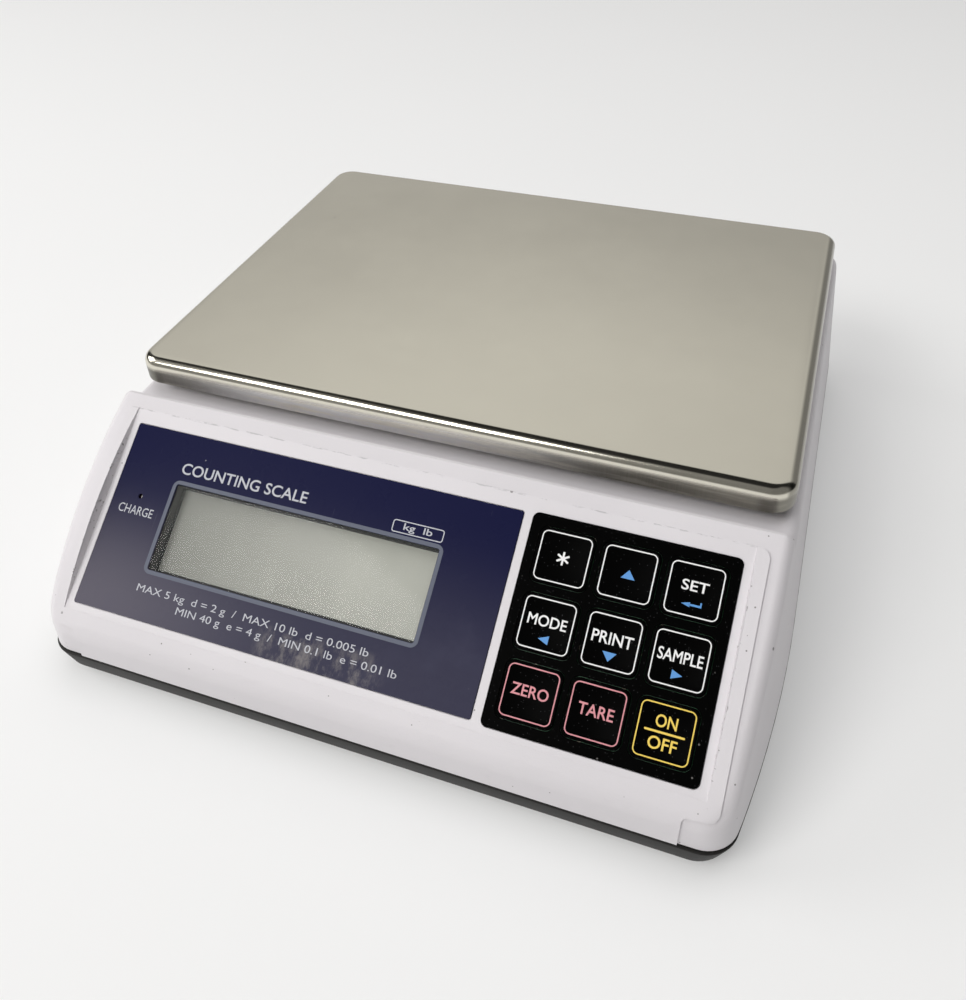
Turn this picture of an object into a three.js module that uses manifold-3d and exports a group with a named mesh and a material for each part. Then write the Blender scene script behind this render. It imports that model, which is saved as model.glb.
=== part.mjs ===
// Counting scale: a tray platter on a sprung frame, a sloped front panel with a
// display and nine keys, and four levelling feet. Millimetres, +Z up, +Y to the
// back. The origin is on the table, at the middle of the scale's footprint.

import * as THREE from 'three';
import { mergeVertices } from 'three/addons/utils/BufferGeometryUtils.js';
import Module from 'manifold-3d';

const wasm = await Module();
wasm.setup();

// ---------------------------------------------------------------- dimensions

const GAP = 0.3;                 // clearance between neighbouring pieces

const HALF_WIDTH = 165;          // housing, at its bottom edge
const HALF_DEPTH = 173;
const SIDE_BEND_Y = -52;         // in front of this the sides curve inwards
const SIDE_BEND_R = 620;
const FRONT_CORNER_R = 14;
const REAR_CORNER_R = 15;
const SIDE_DRAFT = 0.00075;      // narrowing of the upper housing per mm of height
const WALL = 2.8;

const HOUSING_BOTTOM = 16.2;
const DECK_Z = 87;
const DECK_THICK = 2.6;
const REAR_TOP_Y = 170.2;
const REAR_ROUND = 6;

const PANEL_SLOPE = THREE.MathUtils.degToRad(34.6);
const PANEL_TOP = { y: -93.2, z: 88.7 };   // upper edge of the label
const PANEL_BULGE = 4;                     // front surface above the label plane
const PANEL_ARC_START = -7;                // slope distances from the label's edge
const PANEL_ARC_END = 88;
const RIDGE_S = -14.4;
const LIP_FOOT_Z = 29;
const RECESS = { halfWidth: 141.7, floor: -0.3, wallRun: 1 };
const PANEL_BACK = -4.5;                   // inner face of the panel wall

const LABEL = { x0: -138.1, x1: 49.6, s0: 0, s1: 84.5, top: 0, bottom: -0.9, r: 1 };
const WINDOW = { x0: -108.4, x1: 19, s0: 23.4, s1: 62.6, r: 1 };
const LED_AT = { x: -124.4, s: 32.6 };
const KEYPAD = { x0: 53.9, x1: 138.1, s0: -0.8, s1: 85.2, top: 0.2, bottom: -1.3, r: 2.5 };
const KEY = { width: 23.4, height: 22.8, r: 3.3, top: 0.7, bottom: -0.9 };
const KEY_FIRST = { x: 69.9, s: 15.3 };
const KEY_PITCH = { x: 26.2, s: 26.9 };
const KEY_NAMES = ['star', 'up', 'set', 'mode', 'print', 'sample', 'zero', 'tare', 'power'];

const BASE_BOTTOM = 4.2;
const BASE_TOP = 15.4;
const BASE_FLOOR = 7.2;
const BASE_TAPER = 0.98;
const BASE_WALL = 5.6;
const TONGUE = { inset: 3.4, top: 19.6 };

const PLATTER = { halfWidth: 153, y0: -70, y1: 152, top: 107, skirt: 12.3, sheet: 1, roll: 5, r: 11 };
const PLATFORM_Y = 41;
const POST_AT = { x: 118, y: 80 };
const POST_R = 6;
const POST_TOP = 95;
const SEAT_R = 9;

const CELL = { length: 130, width: 26, z0: 34, z1: 56 };
const CELL_BOLT_X = [-57, -41, 41, 57];
const BOLT_R = 3;
const BOLT_HOLE_R = 3.4;

const FOOT_X = 128;
const FOOT_Y = { front: -135, rear: 142 };
const FOOT = { pocketR: 21, pocketTop: 14, cupR: 23.5, cupTop: 17, bossR: 8, bossTop: 30 };
const SCREW_R = 3.9;
const WHEEL = { r: 17, z0: 4.4, z1: 9.9, flutes: 8 };
const PAD = { r: 14, height: 3.6 };

const HOUSING_SCREW_AT = [[-143, -40], [143, -40], [-143, 108], [143, 108]];
const BATTERY = { x0: -98, x1: 2, y0: 82, y1: 152, z0: 7.5, z1: 54.5 };
const BATTERY_DOOR = { x0: -102, x1: 6, y0: 78, y1: 156 };
const JACK_AT = { x: 60, z: 32 };
const PORT_AT = { x: 104, z: 32 };
const REAR_FACE_Y = 172.2;       // outer faces of the jack and the serial port

// ---------------------------------------------------------------- materials

const finishes = {
  white: { color: 0xe3dfe8, roughness: 0.55, metalness: 0 },
  charcoal: { color: 0x46443f, roughness: 0.6, metalness: 0 },
  steel: { color: 0xb4afa4, roughness: 0.28, metalness: 1 },
  zinc: { color: 0xa8acb0, roughness: 0.4, metalness: 1 },
  alloy: { color: 0xb9bcc0, roughness: 0.45, metalness: 1 },
  rubber: { color: 0x1c1c1c, roughness: 0.9, metalness: 0 },
  navy: { color: 0x1d2042, roughness: 0.35, metalness: 0 },
  black: { color: 0x0c0c0e, roughness: 0.45, metalness: 0 },
  frame: { color: 0x232326, roughness: 0.6, metalness: 0 },
  clear: { color: 0xdfe6e4, roughness: 0.1, metalness: 0 },
  display: { color: 0xafb3a4, roughness: 0.3, metalness: 0 },
  board: { color: 0x1f5a36, roughness: 0.6, metalness: 0 },
  lens: { color: 0x2a1012, roughness: 0.2, metalness: 0 },
  level: { color: 0xb8d24a, roughness: 0.15, metalness: 0 },
};

// ------------------------------------------------------------------- solids

function solid(geometry) {
  const bare = geometry.clone();
  bare.deleteAttribute('normal');
  bare.deleteAttribute('uv');
  const merged = mergeVertices(bare, 1e-4);
  return new wasm.Manifold(new wasm.Mesh({
    numProp: 3,
    vertProperties: new Float32Array(merged.attributes.position.array),
    triVerts: new Uint32Array(merged.index.array),
  }));
}

function geometryOf(body) {
  const mesh = body.getMesh();
  const geometry = new THREE.BufferGeometry();
  geometry.setAttribute('position', new THREE.BufferAttribute(mesh.vertProperties, 3));
  geometry.setIndex(new THREE.BufferAttribute(mesh.triVerts, 1));
  geometry.computeVertexNormals();
  return geometry;
}

function join(parts) {
  return parts.reduce((sum, part) => sum.add(part));
}

function cut(body, tools) {
  return tools.reduce((rest, tool) => rest.subtract(tool), body);
}

function block(x0, x1, y0, y1, z0, z1) {
  const geometry = new THREE.BoxGeometry(x1 - x0, y1 - y0, z1 - z0);
  geometry.translate((x0 + x1) / 2, (y0 + y1) / 2, (z0 + z1) / 2);
  return solid(geometry);
}

function rod(r, z0, z1, x = 0, y = 0, sides = 14) {
  const geometry = new THREE.CylinderGeometry(r, r, z1 - z0, sides);
  geometry.rotateX(Math.PI / 2);
  geometry.translate(x, y, (z0 + z1) / 2);
  return solid(geometry);
}

function roundedRect(x0, x1, y0, y1, r) {
  const shape = new THREE.Shape();
  shape.moveTo(x0 + r, y0);
  shape.lineTo(x1 - r, y0);
  shape.absarc(x1 - r, y0 + r, r, -Math.PI / 2, 0);
  shape.absarc(x1 - r, y1 - r, r, 0, Math.PI / 2);
  shape.absarc(x0 + r, y1 - r, r, Math.PI / 2, Math.PI);
  shape.absarc(x0 + r, y0 + r, r, Math.PI, 1.5 * Math.PI);
  return shape;
}

function prism(shape, z0, z1, curveSegments = 3) {
  const geometry = new THREE.ExtrudeGeometry(shape, { depth: z1 - z0, bevelEnabled: false, curveSegments });
  geometry.translate(0, 0, z0);
  return geometry;
}

// A plate given in the panel's own terms: x across and s down the slope.
function panelPlate(area, bottom, top, grow = 0) {
  const { x0, x1, s0, s1 } = area;
  const shape = roundedRect(x0 - grow, x1 + grow, -s1 - grow, -s0 + grow, Math.max(area.r + grow, 0.3));
  return solid(prism(shape, bottom, top, 2));
}

// An outline in the Y-Z plane, drawn out along X.
function extrudeAlongX(outline, x0, x1) {
  const shape = new THREE.Shape(outline.map(([y, z]) => new THREE.Vector2(y, z)));
  const geometry = new THREE.ExtrudeGeometry(shape, { depth: x1 - x0, bevelEnabled: false });
  geometry.applyMatrix4(new THREE.Matrix4().set(
    0, 0, 1, x0,
    1, 0, 0, 0,
    0, 1, 0, 0,
    0, 0, 0, 1,
  ));
  return solid(geometry);
}

// ------------------------------------------------------------ housing shapes

// The footprint, drawn in by an inset: straight sides that bend inwards to the front.
function footprint(inset = 0) {
  const sideCentreX = HALF_WIDTH - SIDE_BEND_R;
  const cornerY = FRONT_CORNER_R - HALF_DEPTH;
  const bend = Math.asin((SIDE_BEND_Y - cornerY) / (SIDE_BEND_R - FRONT_CORNER_R));
  const cornerX = sideCentreX + (SIDE_BEND_R - FRONT_CORNER_R) * Math.cos(bend);
  const front = FRONT_CORNER_R - inset;
  const rear = REAR_CORNER_R - inset;
  const side = SIDE_BEND_R - inset;
  const rearX = HALF_WIDTH - REAR_CORNER_R;
  const rearY = HALF_DEPTH - REAR_CORNER_R;
  const shape = new THREE.Shape();
  shape.moveTo(-cornerX, cornerY - front);
  shape.absarc(cornerX, cornerY, front, -Math.PI / 2, -bend);
  shape.absarc(sideCentreX, SIDE_BEND_Y, side, -bend, 0);
  shape.absarc(rearX, rearY, rear, 0, Math.PI / 2);
  shape.absarc(-rearX, rearY, rear, Math.PI / 2, Math.PI);
  shape.absarc(-sideCentreX, SIDE_BEND_Y, side, Math.PI, Math.PI + bend);
  shape.absarc(-cornerX, cornerY, front, Math.PI + bend, 1.5 * Math.PI);
  return shape;
}

// The footprint drawn up, narrowing across X with height.
function draftedBody(inset, z0, z1) {
  const geometry = prism(footprint(inset), z0, z1);
  const place = geometry.attributes.position;
  for (let i = 0; i < place.count; i += 1) {
    place.setX(i, place.getX(i) * (1 - SIDE_DRAFT * (place.getZ(i) - HOUSING_BOTTOM)));
  }
  return solid(geometry);
}

function panelPoint(s, n) {
  return [
    PANEL_TOP.y - s * Math.cos(PANEL_SLOPE) - n * Math.sin(PANEL_SLOPE),
    PANEL_TOP.z - s * Math.sin(PANEL_SLOPE) + n * Math.cos(PANEL_SLOPE),
  ];
}

// Height of the domed front surface over the label plane.
function frontHeight(s) {
  const half = (PANEL_ARC_END - PANEL_ARC_START) / 2;
  const radius = (half * half + PANEL_BULGE * PANEL_BULGE) / (2 * PANEL_BULGE);
  const fromMiddle = s - (PANEL_ARC_START + PANEL_ARC_END) / 2;
  return Math.sqrt(radius * radius - fromMiddle * fromMiddle) - radius + PANEL_BULGE;
}

function outerProfile() {
  const steps = 12;
  const outline = [[-HALF_DEPTH, HOUSING_BOTTOM], [-HALF_DEPTH, LIP_FOOT_Z], [-171.2, 33.2]];
  for (let i = 0; i <= steps; i += 1) {
    const s = THREE.MathUtils.lerp(PANEL_ARC_END, RIDGE_S, i / steps);
    outline.push(panelPoint(s, frontHeight(s)));
  }
  outline.push([-79, 95.4], [-77, DECK_Z], [REAR_TOP_Y - REAR_ROUND, DECK_Z]);
  outline.push([REAR_TOP_Y - 1.8, DECK_Z - 1.8], [REAR_TOP_Y, DECK_Z - REAR_ROUND]);
  outline.push([HALF_DEPTH, HOUSING_BOTTOM]);
  return outline;
}

function innerProfile() {
  const below = HOUSING_BOTTOM - 5;
  return [
    [WALL - HALF_DEPTH, below],
    [WALL - HALF_DEPTH, LIP_FOOT_Z - 1],
    [-164.6, 36],
    panelPoint(83, PANEL_BACK),
    panelPoint(1.1, PANEL_BACK),
    [REAR_TOP_Y - REAR_ROUND, DECK_Z - DECK_THICK],
    [REAR_TOP_Y - WALL, DECK_Z - REAR_ROUND - 1],
    [HALF_DEPTH - WALL, below],
  ];
}

// The panel's frame: X across, Y up the slope, Z out of the panel.
const panelFrame = new THREE.Matrix4()
  .makeTranslation(0, PANEL_TOP.y, PANEL_TOP.z)
  .multiply(new THREE.Matrix4().makeRotationX(PANEL_SLOPE));

function onPanel(body) {
  return solid(geometryOf(body).applyMatrix4(panelFrame));
}

// The shallow recess of the labels: its end walls lean outwards.
function recessTool() {
  const { halfWidth, floor, wallRun } = RECESS;
  const rise = PANEL_BULGE + 2;
  const shape = new THREE.Shape([
    new THREE.Vector2(-halfWidth, floor),
    new THREE.Vector2(halfWidth, floor),
    new THREE.Vector2(halfWidth + wallRun, floor + rise),
    new THREE.Vector2(-halfWidth - wallRun, floor + rise),
  ]);
  const length = PANEL_ARC_END - PANEL_ARC_START;
  const geometry = new THREE.ExtrudeGeometry(shape, { depth: length, bevelEnabled: false });
  geometry.rotateX(Math.PI / 2);
  geometry.translate(0, -PANEL_ARC_START, 0);
  return solid(geometry);
}

function topHousing() {
  const outer = extrudeAlongX(outerProfile(), -200, 200).intersect(draftedBody(0, HOUSING_BOTTOM, 110));
  const hollow = extrudeAlongX(innerProfile(), -200, 200).intersect(draftedBody(WALL, 5, 110));
  const bosses = HOUSING_SCREW_AT.map(([x, y]) => rod(5, 19.9, DECK_Z - 1, x, y, 10));
  const collars = postPlaces().map(([x, y]) => rod(10.5, DECK_Z - 1, DECK_Z + 3, x, y, 16));
  const panelTools = [
    recessTool(),
    panelPlate(LABEL, -1.2, 6, GAP),
    panelPlate(KEYPAD, -2.7, 6, GAP),
    panelPlate(WINDOW, -20, 6, 1.3),
    rod(1.9, -20, 6, LED_AT.x, -LED_AT.s, 12),
  ].map(onPanel);
  const tools = [
    ...panelTools,
    ...HOUSING_SCREW_AT.map(([x, y]) => rod(2.3, 10, 38, x, y, 8)),
    ...postPlaces().map(([x, y]) => rod(8, DECK_Z - 8, DECK_Z + 8, x, y, 16)),
    turnedToBack(rod(5.6, -10, 30, 0, 0, 16), JACK_AT),
    block(PORT_AT.x - 9.6, PORT_AT.x + 9.6, 160, 180, PORT_AT.z - 5.6, PORT_AT.z + 5.6),
  ];
  return cut(join([outer.subtract(hollow), ...bosses, ...collars]), tools);
}

// ---------------------------------------------------------------- base shapes

function base() {
  const shell = prism(footprint(0.8), BASE_BOTTOM, BASE_TOP);
  const place = shell.attributes.position;
  for (let i = 0; i < place.count; i += 1) {
    if (place.getZ(i) < (BASE_BOTTOM + BASE_TOP) / 2) {
      place.setXY(i, place.getX(i) * BASE_TAPER, place.getY(i) * BASE_TAPER);
    }
  }
  const tongue = solid(prism(footprint(TONGUE.inset), BASE_TOP - 1, TONGUE.top));
  const hollow = solid(prism(footprint(BASE_WALL), BASE_FLOOR, 40));
  const feet = footPlaces();
  const raised = [
    ...feet.map(({ x, y }) => rod(FOOT.cupR, BASE_FLOOR - 1, FOOT.cupTop, x, y, 20)),
    ...feet.map(({ x, y }) => rod(FOOT.bossR, FOOT.cupTop - 1, FOOT.bossTop, x, y, 12)),
    ...HOUSING_SCREW_AT.map(([x, y]) => rod(7, BASE_FLOOR - 1, 19.5, x, y, 12)),
    ...boardCorners().map(([x, y]) => rod(4, BASE_FLOOR - 1, 13.7, x, y, 8)),
  ];
  const door = BATTERY_DOOR;
  const tools = [
    ...feet.map(({ x, y }) => rod(FOOT.pocketR, 0, FOOT.pocketTop, x, y, 20)),
    ...feet.map(({ x, y }) => rod(SCREW_R + 0.4, 0, 40, x, y, 12)),
    ...HOUSING_SCREW_AT.map(([x, y]) => rod(4.2, 0, 12, x, y, 12)),
    ...HOUSING_SCREW_AT.map(([x, y]) => rod(2.3, 0, 30, x, y, 8)),
    solid(prism(roundedRect(door.x0, door.x1, door.y0, door.y1, 3), 0, 20, 3)),
  ];
  return cut(join([solid(shell).add(tongue).subtract(hollow), ...raised]), tools);
}

function footPlaces() {
  return [
    { tag: 'front_left', x: -FOOT_X, y: FOOT_Y.front },
    { tag: 'front_right', x: FOOT_X, y: FOOT_Y.front },
    { tag: 'rear_left', x: -FOOT_X, y: FOOT_Y.rear },
    { tag: 'rear_right', x: FOOT_X, y: FOOT_Y.rear },
  ];
}

function postPlaces() {
  const { x, y } = POST_AT;
  return [[-x, -y], [x, -y], [-x, y], [x, y]].map(([px, py]) => [px, PLATFORM_Y + py]);
}

function boardCorners() {
  return [[-64, -112], [64, -112], [-64, -52], [64, -52]];
}

function footScrew() {
  return rod(SCREW_R, PAD.height + GAP, 32, 0, 0, 12);
}

function footWheel() {
  const rim = rod(WHEEL.r, WHEEL.z0, WHEEL.z1, 0, 0, 24);
  const tools = [rod(SCREW_R + GAP + 0.1, 0, 20, 0, 0, 12)];
  for (let i = 0; i < WHEEL.flutes; i += 1) {
    const turn = (2 * Math.PI * i) / WHEEL.flutes;
    tools.push(rod(2.2, 0, 20, (WHEEL.r + 1) * Math.cos(turn), (WHEEL.r + 1) * Math.sin(turn), 6));
  }
  return cut(rim, tools);
}

function footPad() {
  return rod(PAD.r, 0, PAD.height, 0, 0, 20);
}

function housingScrew() {
  const head = rod(3.8, 8.2, 11.7, 0, 0, 12);
  const slots = [block(-0.6, 0.6, -2.6, 2.6, 7, 9.6), block(-2.6, 2.6, -0.6, 0.6, 7, 9.6)];
  return cut(head.add(rod(2, 11.6, 34, 0, 0, 8)), slots);
}

// --------------------------------------------------------- weighing mechanism

function trayBody(inset, floorZ) {
  const { halfWidth, y0, y1, top, roll, r } = PLATTER;
  const bevel = roll - inset;
  const core = r - roll;
  const shape = roundedRect(-halfWidth + roll, halfWidth - roll, y0 + roll, y1 - roll, core);
  const geometry = new THREE.ExtrudeGeometry(shape, {
    depth: top - roll - floorZ,
    bevelEnabled: true,
    bevelThickness: bevel,
    bevelSize: bevel,
    bevelSegments: 3,
    curveSegments: 3,
  });
  geometry.translate(0, 0, floorZ);
  return solid(geometry);
}

function platter() {
  const { halfWidth, top, skirt, sheet } = PLATTER;
  const bottom = top - skirt;
  const below = block(-halfWidth - 20, halfWidth + 20, -200, 200, bottom - 60, bottom);
  return trayBody(0, bottom - 20).subtract(trayBody(sheet, bottom - 25)).subtract(below);
}

function arm(x, y) {
  const from = new THREE.Vector2(Math.sign(x) * 10, PLATFORM_Y + Math.sign(y - PLATFORM_Y) * 10);
  const to = new THREE.Vector2(x, y);
  const along = to.clone().sub(from);
  const geometry = new THREE.BoxGeometry(along.length(), 16, 8);
  geometry.rotateZ(along.angle());
  geometry.translate((from.x + to.x) / 2, (from.y + to.y) / 2, 70);
  return solid(geometry);
}

function platterFrame() {
  const posts = postPlaces().map(([x, y]) => rod(POST_R, 66, POST_TOP, x, y));
  const ends = postPlaces().map(([x, y]) => rod(10, 66, 74, x, y));
  const arms = postPlaces().map(([x, y]) => arm(x, y));
  const plate = block(-40, 70, 11, 71, 66, 70);
  const hub = block(33, CELL.length / 2, 28, 54, CELL.z1 + 0.6, 67);
  const holes = CELL_BOLT_X.slice(2).flatMap((x) => [
    rod(BOLT_HOLE_R, 40, 90, x, PLATFORM_Y, 10),
    rod(6.5, 70, 90, x, PLATFORM_Y, 12),
  ]);
  return cut(join([plate, hub, ...arms, ...ends, ...posts]), holes);
}

function loadCell() {
  const { length, width, z0, z1 } = CELL;
  const middle = (z0 + z1) / 2;
  const bar = block(-length / 2, length / 2, PLATFORM_Y - width / 2, PLATFORM_Y + width / 2, z0, z1);
  const lobes = [-12, 12].map((x) => acrossY(rod(8, -30, 30), x, middle));
  const slot = block(-12, 12, PLATFORM_Y - 30, PLATFORM_Y + 30, middle - 3, middle + 3);
  const holes = CELL_BOLT_X.map((x) => rod(BOLT_HOLE_R, 20, 70, x, PLATFORM_Y, 10));
  return cut(bar, [...lobes, slot, ...holes]);
}

function acrossY(body, x, z) {
  const geometry = geometryOf(body).rotateX(Math.PI / 2);
  return solid(geometry.translate(x, PLATFORM_Y, z));
}

function cellRiser() {
  const body = block(-65, -33, 28, 54, 11.8, CELL.z0 - GAP);
  return cut(body, CELL_BOLT_X.slice(0, 2).map((x) => rod(BOLT_HOLE_R, 18, 60, x, PLATFORM_Y, 10)));
}

// A socket-head bolt, hanging from its head.
function bolt(headZ, endZ) {
  const head = rod(5, headZ, headZ + 6, 0, 0, 12);
  return head.add(rod(BOLT_R, endZ, headZ + 1, 0, 0, 10)).subtract(rod(2.6, headZ + 3, headZ + 9, 0, 0, 6));
}

function overloadStop() {
  return rod(6, 11.8, 15, 50, PLATFORM_Y, 6).add(rod(3, 14, CELL.z0 - 0.8, 50, PLATFORM_Y, 10));
}

function cellCable() {
  const route = new THREE.CatmullRomCurve3([
    [-65.5, 41, 45], [-74, 41, 45], [-80, 30, 38], [-78, 8, 26], [-66, -18, 21], [-56, -36, 20], [-54, -46, 20],
  ].map((p) => new THREE.Vector3(...p)));
  const ring = new THREE.Shape();
  ring.absarc(0, 0, 2, 0, 2 * Math.PI);
  return new THREE.ExtrudeGeometry(ring, { steps: 14, curveSegments: 4, bevelEnabled: false, extrudePath: route });
}

// ------------------------------------------------------- electronics and trim

function displayLabel() {
  const sheet = panelPlate(LABEL, LABEL.bottom, LABEL.top);
  return cut(sheet, [panelPlate(WINDOW, -5, 5), rod(1.1, -5, 5, LED_AT.x, -LED_AT.s, 12)]);
}

function displayFrame() {
  const collar = panelPlate(WINDOW, -4.9, -1.3, 1);
  const flange = panelPlate(WINDOW, -6.4, PANEL_BACK - GAP, 6.4);
  return collar.add(flange).subtract(panelPlate(WINDOW, -10, 5));
}

function ledLamp() {
  return rod(1.5, -12, -1.3, LED_AT.x, -LED_AT.s, 12).add(rod(1.9, -12, -10.8, LED_AT.x, -LED_AT.s, 12));
}

function keyArea(index, grow = 0) {
  const x = KEY_FIRST.x + KEY_PITCH.x * (index % 3);
  const s = KEY_FIRST.s + KEY_PITCH.s * Math.floor(index / 3);
  const halfWidth = KEY.width / 2 + grow;
  const halfHeight = KEY.height / 2 + grow;
  return { x0: x - halfWidth, x1: x + halfWidth, s0: s - halfHeight, s1: s + halfHeight, r: KEY.r + grow };
}

function keypadOverlay() {
  const sheet = panelPlate(KEYPAD, KEYPAD.bottom, KEYPAD.top);
  return cut(sheet, KEY_NAMES.map((name, i) => panelPlate(keyArea(i, GAP), -5, 5)));
}

function key(index) {
  const area = keyArea(index);
  const skirt = panelPlate(area, KEY.bottom, KEYPAD.top);
  return skirt.add(panelPlate(area, KEYPAD.top - 0.1, KEY.top, -0.5));
}

function mainBoard() {
  return join([
    block(-70, 70, -118, -46, 14, 15.6),
    block(-60, -40, -56, -47, 15.5, 22).subtract(block(-58, -50, -60, -44, 17.6, 30)),
    block(-20, 0, -100, -80, 15.5, 17.4),
    block(20, 44, -110, -92, 15.5, 27),
    block(10, 22, -66, -54, 15.5, 20),
  ]);
}

// A body drawn along Z, turned so that it points out of the back.
function turnedToBack(body, at) {
  const geometry = geometryOf(body).rotateX(-Math.PI / 2);
  return solid(geometry.translate(at.x, REAR_FACE_Y - 10, at.z));
}

function powerJack() {
  const body = rod(5.2, -2, 10, 0, 0, 16).add(block(-7, 7, -6, 6, -4, 6.4));
  return turnedToBack(body.subtract(rod(3.2, 1, 20, 0, 0, 16)), JACK_AT);
}

function serialPort() {
  const shell = new THREE.Shape([[-8.3, 4.2], [8.3, 4.2], [7, -4.2], [-7, -4.2]].map((p) => new THREE.Vector2(...p)));
  const well = new THREE.Shape([[-7.7, 3.6], [7.7, 3.6], [6.5, -3.6], [-6.5, -3.6]].map((p) => new THREE.Vector2(...p)));
  const flange = block(-15.5, 15.5, -6.2, 6.2, 4.4, 6);
  const body = join([flange, solid(prism(shell, -4, 10))]);
  return turnedToBack(body.subtract(solid(prism(well, 3.5, 12))), PORT_AT);
}

// -------------------------------------------------------------------- assembly

const scale = new THREE.Group();

function add(name, finish, body, parent = scale) {
  const geometry = body.isBufferGeometry ? body : geometryOf(body);
  const mesh = new THREE.Mesh(geometry, new THREE.MeshStandardMaterial(finishes[finish]));
  mesh.name = name;
  parent.add(mesh);
  return mesh;
}

add('base_housing', 'charcoal', base());
add('top_housing', 'white', topHousing());

const panel = new THREE.Group();
panel.position.set(0, PANEL_TOP.y, PANEL_TOP.z);
panel.rotation.x = PANEL_SLOPE;
scale.add(panel);

add('display_label', 'navy', displayLabel(), panel);
add('lcd_window', 'clear', panelPlate(WINDOW, LABEL.bottom, -0.05, -GAP), panel);
add('lcd_frame', 'frame', displayFrame(), panel);
add('lcd_panel', 'display', panelPlate(WINDOW, -8.7, -6.7, 4), panel);
add('lcd_backlight', 'clear', panelPlate(WINDOW, -12, -9, 4), panel);
const boardArea = { x0: -132, x1: 30, s0: 14, s1: 72, r: 1 };
add('display_board', 'board', panelPlate(boardArea, -13.9, -12.3), panel);
add('charge_lamp', 'lens', ledLamp(), panel);
add('keypad_overlay', 'black', keypadOverlay(), panel);
add('keypad_circuit', 'board', panelPlate(KEYPAD, -2.4, -1.6, -GAP), panel);
KEY_NAMES.forEach((name, i) => add(`key_${name}`, 'black', key(i), panel));

add('platter', 'steel', platter());
add('platter_frame', 'alloy', platterFrame());
['front_left', 'front_right', 'rear_left', 'rear_right'].forEach((tag, i) => {
  const seat = add(`platter_seat_${tag}`, 'rubber', rod(SEAT_R, POST_TOP + GAP, 105.7, 0, 0, 18));
  const [x, y] = postPlaces()[i];
  seat.position.set(x, y, 0);
});

add('load_cell', 'alloy', loadCell());
add('load_cell_riser', 'alloy', cellRiser());
add('base_plate', 'zinc', block(-85, 65, 11, 71, 7.5, 11.5));
CELL_BOLT_X.forEach((x, i) => {
  const onFrame = x > 0;
  const piece = onFrame ? bolt(70 + GAP, 38) : bolt(CELL.z1 + GAP, 19);
  add(`cell_bolt_${i + 1}`, 'zinc', piece).position.set(x, PLATFORM_Y, 0);
});
add('overload_stop', 'zinc', overloadStop());
add('load_cell_cable', 'frame', cellCable());

add('main_board', 'board', mainBoard());
add('buzzer', 'frame', rod(6, 15.9, 24, 52, -70));
const { x0, x1, y0, y1, z0, z1 } = BATTERY;
add('battery', 'frame', block(x0, x1, y0, y1, z0, z1));
const door = BATTERY_DOOR;
const doorShape = roundedRect(door.x0 + GAP, door.x1 - GAP, door.y0 + GAP, door.y1 - GAP, 2.7);
add('battery_cover', 'charcoal', prism(doorShape, BASE_BOTTOM + 0.2, 7, 3));
add('power_jack', 'frame', powerJack());
add('serial_port', 'zinc', serialPort());
add('bubble_level', 'level', rod(9, DECK_Z + GAP, 96, 0, 100, 18));

footPlaces().forEach(({ tag, x, y }) => {
  const foot = new THREE.Group();
  foot.position.set(x, y, 0);
  scale.add(foot);
  add(`foot_screw_${tag}`, 'zinc', footScrew(), foot);
  add(`foot_wheel_${tag}`, 'charcoal', footWheel(), foot);
  add(`foot_pad_${tag}`, 'rubber', footPad(), foot);
});
HOUSING_SCREW_AT.forEach(([x, y], i) => {
  add(`housing_screw_${i + 1}`, 'zinc', housingScrew()).position.set(x, y, 0);
});

export default scale;
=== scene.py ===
import math

import bmesh
import bpy
from bpy.props import FloatProperty, FloatVectorProperty, IntProperty, PointerProperty
from mathutils import Matrix, Vector


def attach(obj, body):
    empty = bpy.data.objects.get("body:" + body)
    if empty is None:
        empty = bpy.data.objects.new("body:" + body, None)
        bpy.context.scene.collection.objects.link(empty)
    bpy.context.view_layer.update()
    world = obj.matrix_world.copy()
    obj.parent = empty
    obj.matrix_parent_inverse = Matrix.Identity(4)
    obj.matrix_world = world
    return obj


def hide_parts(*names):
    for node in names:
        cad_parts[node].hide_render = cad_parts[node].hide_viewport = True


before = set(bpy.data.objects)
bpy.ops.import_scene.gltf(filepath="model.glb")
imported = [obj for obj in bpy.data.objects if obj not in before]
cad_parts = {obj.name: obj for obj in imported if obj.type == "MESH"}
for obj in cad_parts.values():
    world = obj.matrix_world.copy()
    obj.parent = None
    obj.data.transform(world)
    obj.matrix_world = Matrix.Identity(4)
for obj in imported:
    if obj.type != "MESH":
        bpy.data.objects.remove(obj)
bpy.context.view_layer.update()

bl_info = {
    "name": "Counting Scale",
    "version": (1, 0, 0),
    "blender": (4, 5, 0),
    "location": "3D View > Sidebar > Counting Scale",
    "description": "Models a counting scale round its packed frame, piece by piece",
    "category": "Object",
}

MM = 0.001
# In millimetres: how close points are welded, and the gap between fitted pieces.
WELD = 0.002
FIT = 0.3
QUARTER = math.pi / 2
GRIME = (0.10, 0.09, 0.08)

# The housing, in millimetres, with the origin on the table under its middle.
HALF_WIDTH = 165
HALF_DEPTH = 173
SIDE_BEND_Y = -52
SIDE_BEND_R = 620
FRONT_CORNER_R = 14
REAR_CORNER_R = 15
SIDE_DRAFT = 0.00075
REAR_DRAFT = 0.00023
WALL = 2.8
HOUSING_BOTTOM = 16.2
DECK_Z = 87
DECK_THICK = 2.6

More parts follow.
